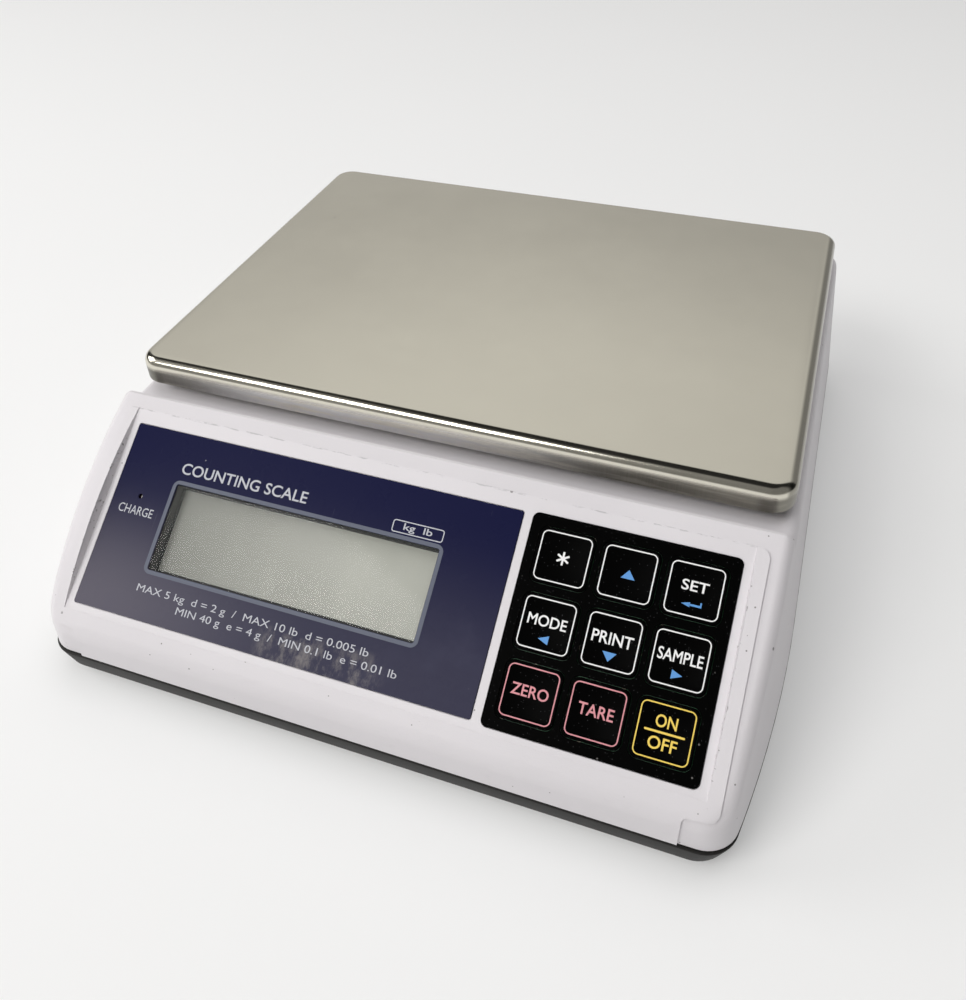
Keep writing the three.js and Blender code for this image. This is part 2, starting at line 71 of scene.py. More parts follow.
# The sloped front: s runs down the slope from the label's upper edge, n points out of it.
SLOPE = math.radians(34.6)
PANEL_TOP_Y = -93.2
PANEL_TOP_Z = 88.7
PANEL_BULGE = 4
ARC_START = -7
ARC_END = 88
RIDGE_Y = -80.7
RIDGE_BACK_Y = -79
RIDGE_FOOT_Y = -77
PANEL_BACK = -4.5
RECESS_HALF = 141.7
RECESS_FLOOR = -0.3
LABEL = (-138.1, 49.6, 0, 84.5)
WINDOW = (-108.4, 19, 23.4, 62.6)
KEYPAD = (53.9, 138.1, -0.8, 85.2)
LAMP_AT = (-124.4, -32.6)
KEY_WIDTH = 23.4
KEY_HEIGHT = 22.8
KEY_FIRST = (69.9, 15.3)
KEY_PITCH = (26.2, 26.9)

# Ink lies a little over its film. FACE_N is the height of a key's face.
PRINT_LIFT = 0.04
PRINT_THICK = 0.03
FACE_N = 0.5

PLATFORM_Y = 41
POST_AT = {
    "front_left": (-118, PLATFORM_Y - 80),
    "front_right": (118, PLATFORM_Y - 80),
    "rear_left": (-118, PLATFORM_Y + 80),
    "rear_right": (118, PLATFORM_Y + 80),
}
FOOT_AT = {
    "front_left": (-128, -135),
    "front_right": (128, -135),
    "rear_left": (-128, 142),
    "rear_right": (128, 142),
}
SCREW_AT = ((-143, -40), (143, -40), (-143, 108), (143, 108))
SHANK_R = 2.3
JACK_AT = (60, 32)
PORT_AT = (104, 32)
REAR_FACE_Y = 172.2
BATTERY_DOOR = (-102, 6, 78, 156)


# ------------------------------------------------------------------ settings


def length(label, words, millimetres):
    return FloatProperty(name=label, description=words, default=millimetres * MM, unit="LENGTH")


def colour_property(label, words, default):
    return FloatVectorProperty(name=label, description=words, subtype="COLOR", default=default, min=0, max=1)


class ScaleSizes(bpy.types.PropertyGroup):
    """Sizes of the scale that a user may change"""

    edge_radius: length("Housing edge", "Rounding of the housing's side edges", 4.5)
    lip_radius: length("Front lip", "Rounding of the lip under the panel", 3.4)
    rear_radius: length("Rear edge", "Rounding of the rear edge of the deck", 6)
    pad_step: length("Panel step", "How far the middle of the front stands proud", 0.85)
    tray_roll: length("Tray roll", "Radius of the tray's folded edge", 4.6)
    tray_corner: length("Tray corner", "Radius of the tray's corners from above", 11)
    outline_width: length("Key outline", "Width of the line printed round each key", 0.64)
    panel_columns: IntProperty(
        name="Housing columns", description="Strips across the top of the housing", default=36, min=8, max=80
    )


class ScaleColours(bpy.types.PropertyGroup):
    """Colours of the scale that a user may change"""

    housing: colour_property("Housing", "Upper housing, a pale lilac white", (0.715, 0.690, 0.715))
    base: colour_property("Base", "Lower housing, a warm charcoal", (0.0095, 0.0088, 0.0080))
    steel: colour_property("Tray", "Stainless steel of the tray", (0.718, 0.690, 0.598))
    label_upper: colour_property("Label, upper", "Label film at its upper edge", (0.0095, 0.0105, 0.0440))
    # The lower colour is greyed by a painted reflection.
    label_lower: colour_property("Label, lower", "Label film at its lower edge", (0.0400, 0.0390, 0.0700))
    keypad: colour_property("Keypad", "Keypad film", (0.0013, 0.0013, 0.0013))
    print_white: colour_property("White ink", "White printing", (0.88, 0.88, 0.88))
    print_grey: colour_property("Grey ink", "Border of the display", (0.105, 0.118, 0.165))
    print_pink: colour_property("Pink ink", "Printing of the zero and tare keys", (0.72, 0.30, 0.335))
    print_yellow: colour_property("Yellow ink", "Printing of the power key", (0.90, 0.66, 0.12))
    print_blue: colour_property("Blue ink", "Arrows of the keypad", (0.115, 0.330, 0.720))
    display: colour_property("Display", "Display when it is off", (0.360, 0.366, 0.326))


def paint(name):
    """One of the colours that a user may change."""
    return tuple(getattr(bpy.context.scene.scale_colours, name))


# -------------------------------------------------------------------- making


def to_object_mode():
    if bpy.context.mode != "OBJECT":
        bpy.ops.object.mode_set(mode="OBJECT")


def choose(*objs):
    to_object_mode()
    bpy.ops.object.select_all(action="DESELECT")
    for obj in objs:
        obj.select_set(True)
    bpy.context.view_layer.objects.active = objs[-1]


def named(obj, name):
    obj.name = name
    obj.data.name = name
    return obj


def started(name, operator, **settings):
    """Runs an operator that adds one object and gives that object its name."""
    to_object_mode()
    bpy.ops.object.select_all(action="DESELECT")
    operator(**settings)
    return named(bpy.context.object, name)


def settle(obj, matrix=None):
    """Puts an object's place into its mesh."""
    choose(obj)
    if matrix is not None:
        obj.matrix_world = matrix @ obj.matrix_world
    bpy.ops.object.transform_apply(location=True, rotation=True, scale=True)
    return obj


def shifted(x=0, y=0, z=0):
    """A move in millimetres."""
    return Matrix.Translation(Vector((x, y, z)) * MM)


def round_z(angle):
    return Matrix.Rotation(angle, 4, "Z")


def edit_mesh(obj):
    mesh = bmesh.from_edit_mesh(obj.data)
    for row in (mesh.verts, mesh.edges, mesh.faces):
        row.ensure_lookup_table()
    return mesh


def editing(obj, mode="VERT", chosen="DESELECT"):
    """Opens an object's mesh for editing, with nothing or all of it selected."""
    choose(obj)
    bpy.ops.object.mode_set(mode="EDIT")
    bpy.ops.mesh.select_mode(type=mode)
    bpy.ops.mesh.select_all(action=chosen)
    return edit_mesh(obj)


def pick(obj, mesh, test, row="verts"):
    for item in getattr(mesh, row):
        item.select_set(bool(test(item)))
    mesh.select_flush_mode()
    bmesh.update_edit_mesh(obj.data)


def grown(value):
    """Extrudes the selected faces by a vector."""
    bpy.ops.mesh.extrude_region_move(TRANSFORM_OT_translate={"value": value})


def scaled(x, y):
    """Scales what is selected about the origin, across and along."""
    bpy.ops.transform.resize(value=(x, y, 1), center_override=(0, 0, 0))


def outward(obj):
    """Merges what lies together and turns every face outwards."""
    editing(obj, chosen="SELECT")
    bpy.ops.mesh.remove_doubles(threshold=WELD * MM)
    bpy.ops.mesh.normals_make_consistent(inside=False)
    to_object_mode()
    return obj


def block(name, x0, x1, y0, y1, z0, z1):
    middle = Vector((x0 + x1, y0 + y1, z0 + z1)) * MM / 2
    size = (x1 - x0, y1 - y0, z1 - z0)
    return settle(started(name, bpy.ops.mesh.primitive_cube_add, size=MM, location=middle, scale=size))


def rod(name, radius, z0, z1, at=(0, 0), sides=32):
    place = Vector((*at, (z0 + z1) / 2)) * MM
    sizes = {"vertices": sides, "radius": radius * MM, "depth": (z1 - z0) * MM}
    return settle(started(name, bpy.ops.mesh.primitive_cylinder_add, location=place, **sizes))


def traced(name, points, closed=True):
    """A line drawn from point to point by extruding its last corner, filled when it closes."""
    obj = started(name, bpy.ops.mesh.primitive_plane_add, size=MM)
    mesh = editing(obj)
    first = mesh.verts[0]
    pick(obj, mesh, lambda v: v is not first)
    bpy.ops.mesh.delete(type="VERT")
    places = [Vector(point) * MM for point in points]
    bpy.ops.mesh.select_all(action="SELECT")
    bpy.ops.transform.translate(value=places[0] - edit_mesh(obj).verts[0].co)
    for here, there in zip(places, places[1:]):
        bpy.ops.mesh.extrude_vertices_move(TRANSFORM_OT_translate={"value": there - here})
    if closed:
        bpy.ops.mesh.select_all(action="SELECT")
        bpy.ops.mesh.edge_face_add()
    to_object_mode()
    return obj


def drawn_out(obj, path):
    """Extrudes everything in an open sheet along a path in millimetres."""
    editing(obj, chosen="SELECT")
    grown(Vector(path) * MM)
    return outward(obj)


def slab(name, outline, z0, z1):
    return drawn_out(traced(name, [(x, y, z0) for x, y in outline]), (0, 0, z1 - z0))


def beam(name, outline, x0, x1):
    """A shape in the Y-Z plane, drawn out along X."""
    return drawn_out(traced(name, [(x0, y, z) for y, z in outline]), (x1 - x0, 0, 0))


def turned(name, profile, sides=48, at=(0, 0)):
    """A profile of radii and heights, spun round the Z axis. It closes on the axis or on itself."""
    line = [(r, 0, z) for r, z in profile]
    if profile[0][0] > 0:
        line.append(line[0])
    obj = traced(name, line, closed=False)
    editing(obj, chosen="SELECT")
    bpy.ops.mesh.spin(steps=sides, angle=2 * math.pi, center=(0, 0, 0), axis=(0, 0, 1))
    return settle(outward(obj), shifted(*at))


def lerp(a, b, t):
    return a + (b - a) * t


def arc(cx, cy, r, start, end, steps):
    """Points along an arc, with both its ends. Angles are in radians."""
    angles = [lerp(start, end, i / steps) for i in range(steps + 1)]
    return [(cx + r * math.cos(angle), cy + r * math.sin(angle)) for angle in angles]


def rounded(x0, x1, y0, y1, r, steps=6):
    """Corners of a rounded rectangle."""
    centres = ((x1 - r, y0 + r), (x1 - r, y1 - r), (x0 + r, y1 - r), (x0 + r, y0 + r))
    outline = []
    for corner, centre in enumerate(centres, -1):
        outline += arc(*centre, r, corner * QUARTER, (corner + 1) * QUARTER, steps)
    return outline


def oblong(half_w, half_h, r, steps=6, at=(0, 0)):
    """A rounded rectangle round its own middle."""
    return rounded(at[0] - half_w, at[0] + half_w, at[1] - half_h, at[1] + half_h, r, steps)


def panel_area(area, grow=0, r=1, steps=6):
    """Outline of an area of the panel, with the slope's distances turned into Y."""
    x0, x1, s0, s1 = area
    return rounded(x0 - grow, x1 + grow, -s1 - grow, -s0 + grow, max(r + grow, 0.2), steps)


def modified(obj, kind, **settings):
    """Applies one modifier with its settings."""
    choose(obj)
    step = obj.modifiers.new("step", kind)
    for label, value in settings.items():
        setattr(step, label, value)
    bpy.ops.object.modifier_apply(modifier=step.name)
    return obj


def worked(obj, tools, operation):
    """Works tools into an object one by one, and removes each tool."""
    for tool in tools:
        modified(obj, "BOOLEAN", operation=operation, solver="MANIFOLD", object=tool)
        bpy.data.objects.remove(tool)
        if not obj.data.polygons:
            raise RuntimeError(f"{obj.name} was cut away")
    return obj


def cut(obj, *tools):
    return worked(obj, tools, "DIFFERENCE")


def added(obj, *tools):
    return worked(obj, tools, "UNION")


def shared(obj, tool):
    return worked(obj, [tool], "INTERSECT")


def softened(obj, width, segments=2, angle=30):
    """Rounds the edges that turn by more than an angle."""
    edges = {"limit_method": "ANGLE", "angle_limit": math.radians(angle), "harden_normals": False}
    return modified(obj, "BEVEL", width=width * MM, segments=segments, **edges)


def copied(obj, name, matrix):
    choose(obj)
    bpy.ops.object.duplicate(linked=False)
    return settle(named(bpy.context.object, name), matrix)


def removed(*blanks):
    for blank in blanks:
        bpy.data.objects.remove(blank)


PANEL_FRAME = shifted(0, PANEL_TOP_Y, PANEL_TOP_Z) @ Matrix.Rotation(SLOPE, 4, "X")
REAR_FRAME = shifted(0, REAR_FACE_Y - 10) @ Matrix.Rotation(-QUARTER, 4, "X")


def on_panel(obj):
    return settle(obj, PANEL_FRAME)


def on_back(obj, at):
    """Turns a piece that was made upright so that it points out of the back."""
    return settle(obj, shifted(at[0], 0, at[1]) @ REAR_FRAME)


def finished(obj, finish, *stands_for, slot=None, body="scale_body", smooth=30):
    """Smooths a piece, gives it its material and tells the frame where it belongs."""
    if smooth:
        choose(obj)
        bpy.ops.object.shade_smooth_by_angle(angle=math.radians(smooth))
    obj.data.materials.clear()
    obj.data.materials.append(finish)
    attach(obj, body)
    if stands_for:
        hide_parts(*stands_for)


# ----------------------------------------------------------------- materials


class Value:
    """A number inside a material. Sums on it add Math nodes."""

    def __init__(self, graph, socket):
        self.graph = graph
        self.socket = socket

    def __add__(self, other):
        return self.graph.math("ADD", self, other)

    def __radd__(self, other):
        return self.graph.math("ADD", other, self)

    def __sub__(self, other):
        return self.graph.math("SUBTRACT", self, other)

    def __rsub__(self, other):
        return self.graph.math("SUBTRACT", other, self)

    def __mul__(self, other):
        return self.graph.math("MULTIPLY", self, other)

    def __rmul__(self, other):
        return self.graph.math("MULTIPLY", other, self)

    def __abs__(self):
        return self.graph.math("ABSOLUTE", self)

    def step(self, low, high):
        """0 under low, 1 over high, and smooth between them."""
        settings = {"interpolation_type": "SMOOTHSTEP", "clamp": True}
        return self.graph.node("ShaderNodeMapRange", settings,
                               {"Value": self, "From Min": low, "From Max": high})

    def rise(self, low, high):
        """The same between two places in millimetres."""
        return self.step(low * MM, high * MM)

    def kept(self):
        """Held between 0 and 1."""
        return self.graph.node("ShaderNodeClamp", {}, {"Value": self})


class Graph:
    """Adds nodes to one node tree."""

    def __init__(self, tree):
        self.tree = tree

    def node(self, kind, settings, inputs, output=0):
        """Adds any node: settings first, then the values or links of its sockets."""
        made = self.tree.nodes.new(kind)
        for label, value in settings.items():
            setattr(made, label, value)
        for label, value in inputs.items():
            socket = made.inputs[label]
            if isinstance(value, Value):
                self.tree.links.new(value.socket, socket)
            elif socket.type == "RGBA":
                socket.default_value = (*value, 1)
            else:
                socket.default_value = value
        return Value(self, made.outputs[output])

    def math(self, operation, *terms):
        return self.node("ShaderNodeMath", {"operation": operation}, dict(enumerate(terms)))

    def mix(self, factor, first, second):
        """Mixes two colours."""
        settings = {"data_type": "RGBA", "clamp_factor": True}
        return self.node("ShaderNodeMix", settings, {0: factor, 6: first, 7: second}, output=2)

    def axes(self, place):
        """The three numbers of a place."""
        return [self.node("ShaderNodeSeparateXYZ", {}, {"Vector": place}, output=axis) for axis in range(3)]


class Finish(Graph):
    """One material, made of nodes round its Principled shader."""

    def __init__(self, name, **constants):
        self.material = bpy.data.materials.new(name)
        self.material.use_nodes = True
        super().__init__(self.material.node_tree)
        self.shader = self.tree.nodes["Principled BSDF"]
        for label, value in constants.items():
            self.shader.inputs[label.replace("_", " ")].default_value = value
        self.here = self.place()

    def place(self, stretch=(1, 1, 1), turn=(0, 0, 0)):
        """The piece's own coordinates, in metres."""
        own = self.node("ShaderNodeTexCoord", {}, {}, output=3)
        return self.node("ShaderNodeMapping", {}, {"Vector": own, "Scale": stretch, "Rotation": turn})

    def noise(self, size, detail=2.0, rough=0.5, stretch=(1, 1, 1), turn=(0, 0, 0)):
        """Cloudy pattern from 0 to 1, with lumps of a size in millimetres."""
        inputs = {"Vector": self.place(stretch, turn), "Scale": 1 / (size * MM)}
        return self.node("ShaderNodeTexNoise", {}, {**inputs, "Detail": detail, "Roughness": rough})

    def cells(self, size, random=1.0, feature="F1", output=0):
        inputs = {"Vector": self.here, "Scale": 1 / (size * MM), "Randomness": random}
        return self.node("ShaderNodeTexVoronoi", {"feature": feature}, inputs, output)

    def specks(self, spacing, size, share):
        """1 in small round specks, which only a share of the cells has."""
        near = self.cells(spacing)
        chance = self.axes(self.cells(spacing, output=1))[0]
        return (1 - near.step(size / spacing * 0.6, size / spacing)) * (1 - chance.step(share, share + 0.01))

    def shades(self, factor, colour, low, high):
        """A colour between two strengths of itself."""
        return self.mix(factor, shade(colour, low), shade(colour, high))

    def over(self, tone, *coats):
        """Lays coats on a tone in order, each with its cover and its colour."""
        for cover, colour in coats:
            tone = self.mix(cover, tone, colour)
        return tone

    def done(self, tone, roughness, height=None, depth=0.0, **links):
        """Feeds the shader and gives the material. Depth is in millimetres."""
        if height:
            links["Normal"] = self.node("ShaderNodeBump", {}, {"Height": height, "Distance": depth * MM})
        for label, value in {"Base Color": tone, "Roughness": roughness, **links}.items():
            if value:
                self.tree.links.new(value.socket, self.shader.inputs[label])
        return self.material


def shade(colour, factor):
    return tuple(min(1.0, channel * factor) for channel in colour)


def two_tone(name, dark, pale, size, rough, spread, **constants):
    """A plain finish that drifts between two colours."""
    finish = Finish(name, **constants)
    cloud = finish.noise(size)
    return finish.done(finish.mix(cloud, dark, pale), rough + cloud * spread)


def recess_dirt_and_step_shade(finish, spots, tone, colour):
    """Dirt along the recess's side walls, and a painted shade line along the step behind the label."""
    x, y, z = finish.axes(finish.here)
    near = 1 - abs(abs(x) - (RECESS_HALF + 0.4) * MM).rise(0.15, 0.7)
    ticks = finish.noise(2.4, 4, 0.7, (0.2, 1, 1)).step(0.58, 0.66)
    spots = spots + near * ticks * (1 - y.rise(-100, -96))
    dashes = finish.noise(1.6, 4, 0.7, (0.25, 1, 1)).step(0.50, 0.62)
    within = 1 - abs(x).rise(144, 147)
    # A broken dark line along the step behind the label: painted shade in the step.
    painted_step_shade = (1 - abs(y + 87.2 * MM).rise(0.1, 0.8)) * dashes * within
    return spots + finish.specks(4.5, 0.4, 0.07), finish.mix(painted_step_shade * 0.55, tone, shade(colour, 0.35))


def moulded(name, colour, roughness, grain, depth, dirt=0.0, dark=GRIME, groove=False):
    """Moulded plastic: spark-eroded grain, slow colour drift, and dirt in specks; with groove, also dirt
    along the recess walls and a painted shade line along the panel's step.
    """
    finish = Finish(name, Specular_IOR_Level=0.4)
    tone = finish.shades(finish.noise(60, 3), colour, 0.95, 1.04)
    if dirt:
        spots = finish.specks(5, 0.42, 0.08 * dirt) + finish.specks(14, 0.8, 0.09 * dirt)
        smear = finish.noise(9, 6, 0.7).step(0.60, 0.80) * finish.noise(45).step(0.45, 0.7)
        tone = finish.mix(smear * 0.26 * dirt, tone, shade(colour, 0.66))
        # groove adds dirt along the recess walls and painted shade along the step behind the label.
        if groove:
            spots, tone = recess_dirt_and_step_shade(finish, spots, tone, colour)
        tone = finish.mix((spots * 0.75).kept(), tone, dark)
    height = finish.noise(grain, 2, 0.6) + finish.noise(grain * 4) * 0.5
    return finish.done(tone, roughness + (finish.noise(20, 4) - 0.5) * 0.12, height, depth)


def inked(name, colour):
    """Screen-printed ink with a slightly uneven film."""
    finish = Finish(name, Specular_IOR_Level=0.35)
    film = finish.noise(0.5, 3)
    return finish.done(finish.shades(film, colour, 0.86, 1.06), 0.42 + film * 0.15, film, 0.01)


def metal(name, colour, roughness, stretch=(1, 1, 1), grain=0.4, depth=0.006):
    """Bare metal with a drawn or cast grain."""
    finish = Finish(name, Metallic=1.0)
    grained = finish.noise(grain, 4, 0.65, stretch)
    cloud = finish.noise(35, 4, 0.6)
    tone = finish.shades(grained * 0.5 + cloud * 0.5, colour, 0.9, 1.1)
    return finish.done(tone, roughness + (cloud - 0.5) * 0.12 + (grained - 0.5) * 0.08, grained, depth)


def steel_sheet(name, colour):
    """Brushed stainless sheet: long fine scratches, smudges, and dull skirts darkened by painted shade, with
    a painted reflection, painted shade towards the right edge and at the corners.
    """
    finish = Finish(name, Metallic=1.0)
    x, y, z = finish.axes(finish.here)
    skirt = 1 - z.rise(100.4, 103.2)
    scratch = finish.noise(0.35, 5, 0.7, (0.02, 1, 1))
    fine = finish.noise(0.5, 3, 0.6, (1, 0.03, 1))
    smudge = finish.noise(38, 5, 0.62)
    wipe = finish.noise(30, 4, 0.6, (0.35, 1, 1), (0, 0, 0.5)).step(0.45, 0.75)
    upright = finish.noise(0.45, 4, 0.7, (1, 1, 0.04))
    streaked = finish.noise(2.2, 4, 0.6, (0.08, 0.08, 1)).step(0.45, 0.7)
    # Painted shade on the skirt's rounded corners.
    folded = abs(x).rise(137, 141.5) * abs(y - PLATFORM_Y * MM).rise(95, 99.5)
    # A painted reflection: a bright smear on the left half of the skirt.
    painted_reflection = x.rise(-150, -75) * (1 - x.rise(-10, 90))
    # The skirt's colour: brushed grain darkened as painted shade, the painted reflection, painted shade
    # towards the right, brushed streaks brightened as a painted highlight where the painted reflection lies,
    # and painted shade at the corners.
    skirt_tone_with_painted_light = finish.over(
        finish.shades(upright, colour, 0.24, 0.42),
        (painted_reflection * 0.85, shade(colour, 1.7)),
        (x.rise(95, 130) * 0.45, shade(colour, 0.75)),
        (streaked * (painted_reflection * 0.6 + 0.2), shade(colour, 1.3)),
        (folded * 0.6, shade(colour, 0.2)),
    )
    tone = finish.over(
        finish.shades(smudge, colour, 0.93, 1.05),
        (skirt, skirt_tone_with_painted_light),
        # Painted shade along the tray's right edge.
        (x.rise(148.6, 150.2) * 0.8, shade(colour, 0.34)),
        (finish.specks(14, 0.5, 0.10) * 0.5, (0.08, 0.07, 0.06)),
    )
    sheen = 0.155 + (smudge - 0.5) * 0.10 + wipe * 0.035 + (scratch - 0.5) * 0.05 + skirt * 0.17
    return finish.done(tone, sheen, scratch * 0.5 + fine * 0.35 + skirt * upright * 1.5, 0.004)


def label_film(name, upper, lower):
    """Glossy printed film, with handling marks, a worn patch near its lower edge, a painted reflection that
    greys its lower part and painted glare at its lower left.
    """
    finish = Finish(name, Specular_IOR_Level=0.03)
    x, y, z = finish.axes(finish.here)
    # Painted glare: a lighter patch at the film's lower left.
    glare = (1 - x.rise(-140, -20)) * (1 - z.rise(42, 74))
    cloud = finish.noise(26, 5, 0.6)
    rub = finish.noise(6, 6, 0.75, (1, 0.5, 0.5)).step(0.42, 0.7)
    patch = x.rise(-52, -40) * (1 - x.rise(0, 14)) * (1 - z.rise(45.5, 49.5))
    scratch = finish.noise(1.2, 3, 0.6, (1, 0.05, 0.05), (0, 0.5, 0.2)).step(0.70, 0.76)
    tone = finish.over(
        # The film greys from its upper colour to its lower one: a painted reflection.
        finish.mix(z.rise(44, 84), lower, upper),
        (glare * 0.75, (0.145, 0.135, 0.165)),
        (cloud.step(0.5, 0.85) * (1 - z.rise(52, 80)) * 0.22, (0.10, 0.10, 0.15)),
        (rub * patch * 0.65, (0.30, 0.28, 0.27)),
        (scratch * cloud * 0.3, (0.16, 0.16, 0.2)),
        (finish.specks(9, 0.35, 0.10) * 0.6, (0.45, 0.45, 0.48)),
    )
    return finish.done(tone, 0.27 + (cloud - 0.5) * 0.2 + rub * patch * 0.25, finish.noise(0.5), 0.002)


def keypad_film(name, colour):
    """Fine-grained black film with a sparkle of dust and scuffs."""
    finish = Finish(name, Specular_IOR_Level=0.01)
    scuff = finish.noise(8, 6, 0.72).step(0.55, 0.85)
    tone = finish.over(
        finish.mix(scuff * 0.2, colour, shade(colour, 4)),
        (finish.specks(0.75, 0.20, 0.12) * 0.14, (0.30, 0.30, 0.32)),
        (finish.specks(5, 0.45, 0.12) * 0.45, (0.30, 0.29, 0.28)),
    )
    return finish.done(tone, 0.36 + scuff * 0.12, finish.noise(0.4), 0.006)


def rubber(name, colour):
    finish = Finish(name, Specular_IOR_Level=0.25)
    bloom = finish.noise(7, 5, 0.65)
    tone = finish.mix(bloom, colour, shade(colour, 2.2))
    return finish.done(tone, 0.72 + bloom * 0.2, finish.noise(0.5), 0.03)


def circuit_board(name):
    """Green solder mask with tracks and pads."""
    finish = Finish(name, Specular_IOR_Level=0.5)
    tracks = finish.cells(6, 0.25, "DISTANCE_TO_EDGE").step(0.03, 0.06)
    pads = finish.specks(4, 1.1, 0.3)
    tone = finish.mix(tracks, (0.035, 0.16, 0.07), (0.012, 0.085, 0.035))
    return finish.done(finish.mix(pads, tone, (0.55, 0.50, 0.38)), 0.45 - pads * 0.15, 1 - tracks, 0.03)


def display_film(name, colour):
    """A switched-off display: grey-green, with a painted highlight that brightens its right side and painted
    highlight streaks.
    """
    finish = Finish(name, Specular_IOR_Level=0.15)
    x, y, z = finish.axes(finish.here)
    cloud = finish.noise(22, 3, 0.5, (1, 0.4, 0.4))
    # Painted highlight streaks, strongest on the right and low down.
    painted_highlight_streaks = finish.noise(12, 3, 0.5, (1, 0.16, 0.16)).step(0.42, 0.72)
    # bright is a painted highlight across the display, growing towards the right.
    bright = x.rise(-112, 10)
    low = 1 - z.rise(48, 70)
    tone = finish.over(
        finish.shades(bright, colour, 0.74, 1.52),
        (painted_highlight_streaks * bright * (low * 0.6 + 0.4) * 0.5, shade(colour, 1.6)),
        (cloud * 0.3, shade(colour, 0.85)),
    )
    return finish.done(tone, 0.32 + (cloud - 0.5) * 0.1, finish.noise(0.25, 1), 0.002)


def clear_pane(name, alpha, colour):
    """Thin clear plastic with a few hairline marks."""
    finish = Finish(name, Roughness=0.06, Specular_IOR_Level=0.6)
    marks = finish.noise(1.6, 3, 0.6, (1, 0.08, 0.3), (0.3, 0.2, 0.6)).step(0.66, 0.74)
    haze = finish.noise(18, 4, 0.6)
    tone = finish.shades(haze, colour, 0.9, 1)
    return finish.done(tone, None, haze, 0.01, Alpha=alpha + haze * 0.04 + marks * 0.05)


# ------------------------------------------------------------- housing shapes


def panel_point(s, n):
    return (
        PANEL_TOP_Y - s * math.cos(SLOPE) - n * math.sin(SLOPE),
        PANEL_TOP_Z - s * math.sin(SLOPE) + n * math.cos(SLOPE),
    )


ARC_HALF = (ARC_END - ARC_START) / 2
ARC_R = (ARC_HALF**2 + PANEL_BULGE**2) / (2 * PANEL_BULGE)
ARC_Y, ARC_Z = panel_point((ARC_START + ARC_END) / 2, PANEL_BULGE - ARC_R)


def front_height(y, under):
    """Height of the domed front at a distance to the front, a little under its surface."""
    return ARC_Z + math.sqrt((ARC_R - under) ** 2 - (y - ARC_Y) ** 2)


def top_height(y, under, sink=0.0):
    """Height of the housing's top: domed front, ridge, and flat deck."""
    deck = DECK_Z - under
    if y >= RIDGE_FOOT_Y:
        return deck
    ridge = front_height(RIDGE_Y, under + sink)
    back = ridge - 0.4
    if y > RIDGE_BACK_Y:
        return lerp(back, deck, (y - RIDGE_BACK_Y) / (RIDGE_FOOT_Y - RIDGE_BACK_Y))
    if y > RIDGE_Y:
        return lerp(ridge, back, (y - RIDGE_Y) / (RIDGE_BACK_Y - RIDGE_Y))
    return front_height(y, under + sink)


FRONT_CORNER_Y = FRONT_CORNER_R - HALF_DEPTH
SIDE_CENTRE_X = HALF_WIDTH - SIDE_BEND_R
SIDE_BEND = math.asin((SIDE_BEND_Y - FRONT_CORNER_Y) / (SIDE_BEND_R - FRONT_CORNER_R))
FRONT_CORNER_X = SIDE_CENTRE_X + (SIDE_BEND_R - FRONT_CORNER_R) * math.cos(SIDE_BEND)
REAR_CORNER_X = HALF_WIDTH - REAR_CORNER_R
REAR_CORNER_Y = HALF_DEPTH - REAR_CORNER_R


def side_x(y):
    """Half the housing's width at a place along its depth."""
    if y > SIDE_BEND_Y:
        return HALF_WIDTH
    return SIDE_CENTRE_X + math.sqrt(SIDE_BEND_R**2 - (y - SIDE_BEND_Y) ** 2)


def half_outline(inset=0.0, steps=10):
    """Right half of the footprint from front to rear, drawn in by an inset."""
    return [
        *arc(FRONT_CORNER_X, FRONT_CORNER_Y, FRONT_CORNER_R - inset, -QUARTER, -SIDE_BEND, steps),
        *arc(SIDE_CENTRE_X, SIDE_BEND_Y, SIDE_BEND_R - inset, -SIDE_BEND, 0, 8)[1:],
        *arc(REAR_CORNER_X, REAR_CORNER_Y, REAR_CORNER_R - inset, 0, QUARTER, steps),
    ]


def mirrored(points):
    """Closes half an outline with its mirror image."""
    return points + [(-x, y) for x, y in reversed(points)]


def footprint(inset=0.0):
    return mirrored(half_outline(inset))


def corner_stations(cx, cy, r, start, end, first, last, steps=9):
    """Edge stations round a corner, whose edge radius changes smoothly from first to last."""
    stations = []
    for i in range(steps + 1):
        t = i / steps
        angle = lerp(start, end, t)
        out = (math.cos(angle), math.sin(angle))
        stations.append(((cx + r * out[0], cy + r * out[1]), out,
                         lerp(first, last, t * t * (3 - 2 * t)), False))
    return stations


def edge_stations(side_r, lip_r, rear_r):
    """Where the top's rounded edge starts: outline point, outward direction, radius, and whether
    the row stays at its own depth."""
    depths = [-156 + 6.2 * i for i in range(12)] + [RIDGE_Y, RIDGE_BACK_Y, RIDGE_FOOT_Y, -70]
    depths += [-60 + 18 * i for i in range(13)]
    front = (FRONT_CORNER_X, FRONT_CORNER_Y, FRONT_CORNER_R, -QUARTER, -SIDE_BEND)
    rear = (REAR_CORNER_X, REAR_CORNER_Y, REAR_CORNER_R, 0, QUARTER)
    sides = [((side_x(y), y), (1, 0), side_r, True) for y in depths]
    return corner_stations(*front, lip_r, side_r) + sides + corner_stations(*rear, side_r, rear_r)


def drafted(x, y, z):
    """Draws a point in as it rises, as the mould lets go of the housing."""
    rise = z - HOUSING_BOTTOM
    return Vector((x * (1 - SIDE_DRAFT * rise), y * (1 - REAR_DRAFT * rise) if y > 0 else y, z)) * MM


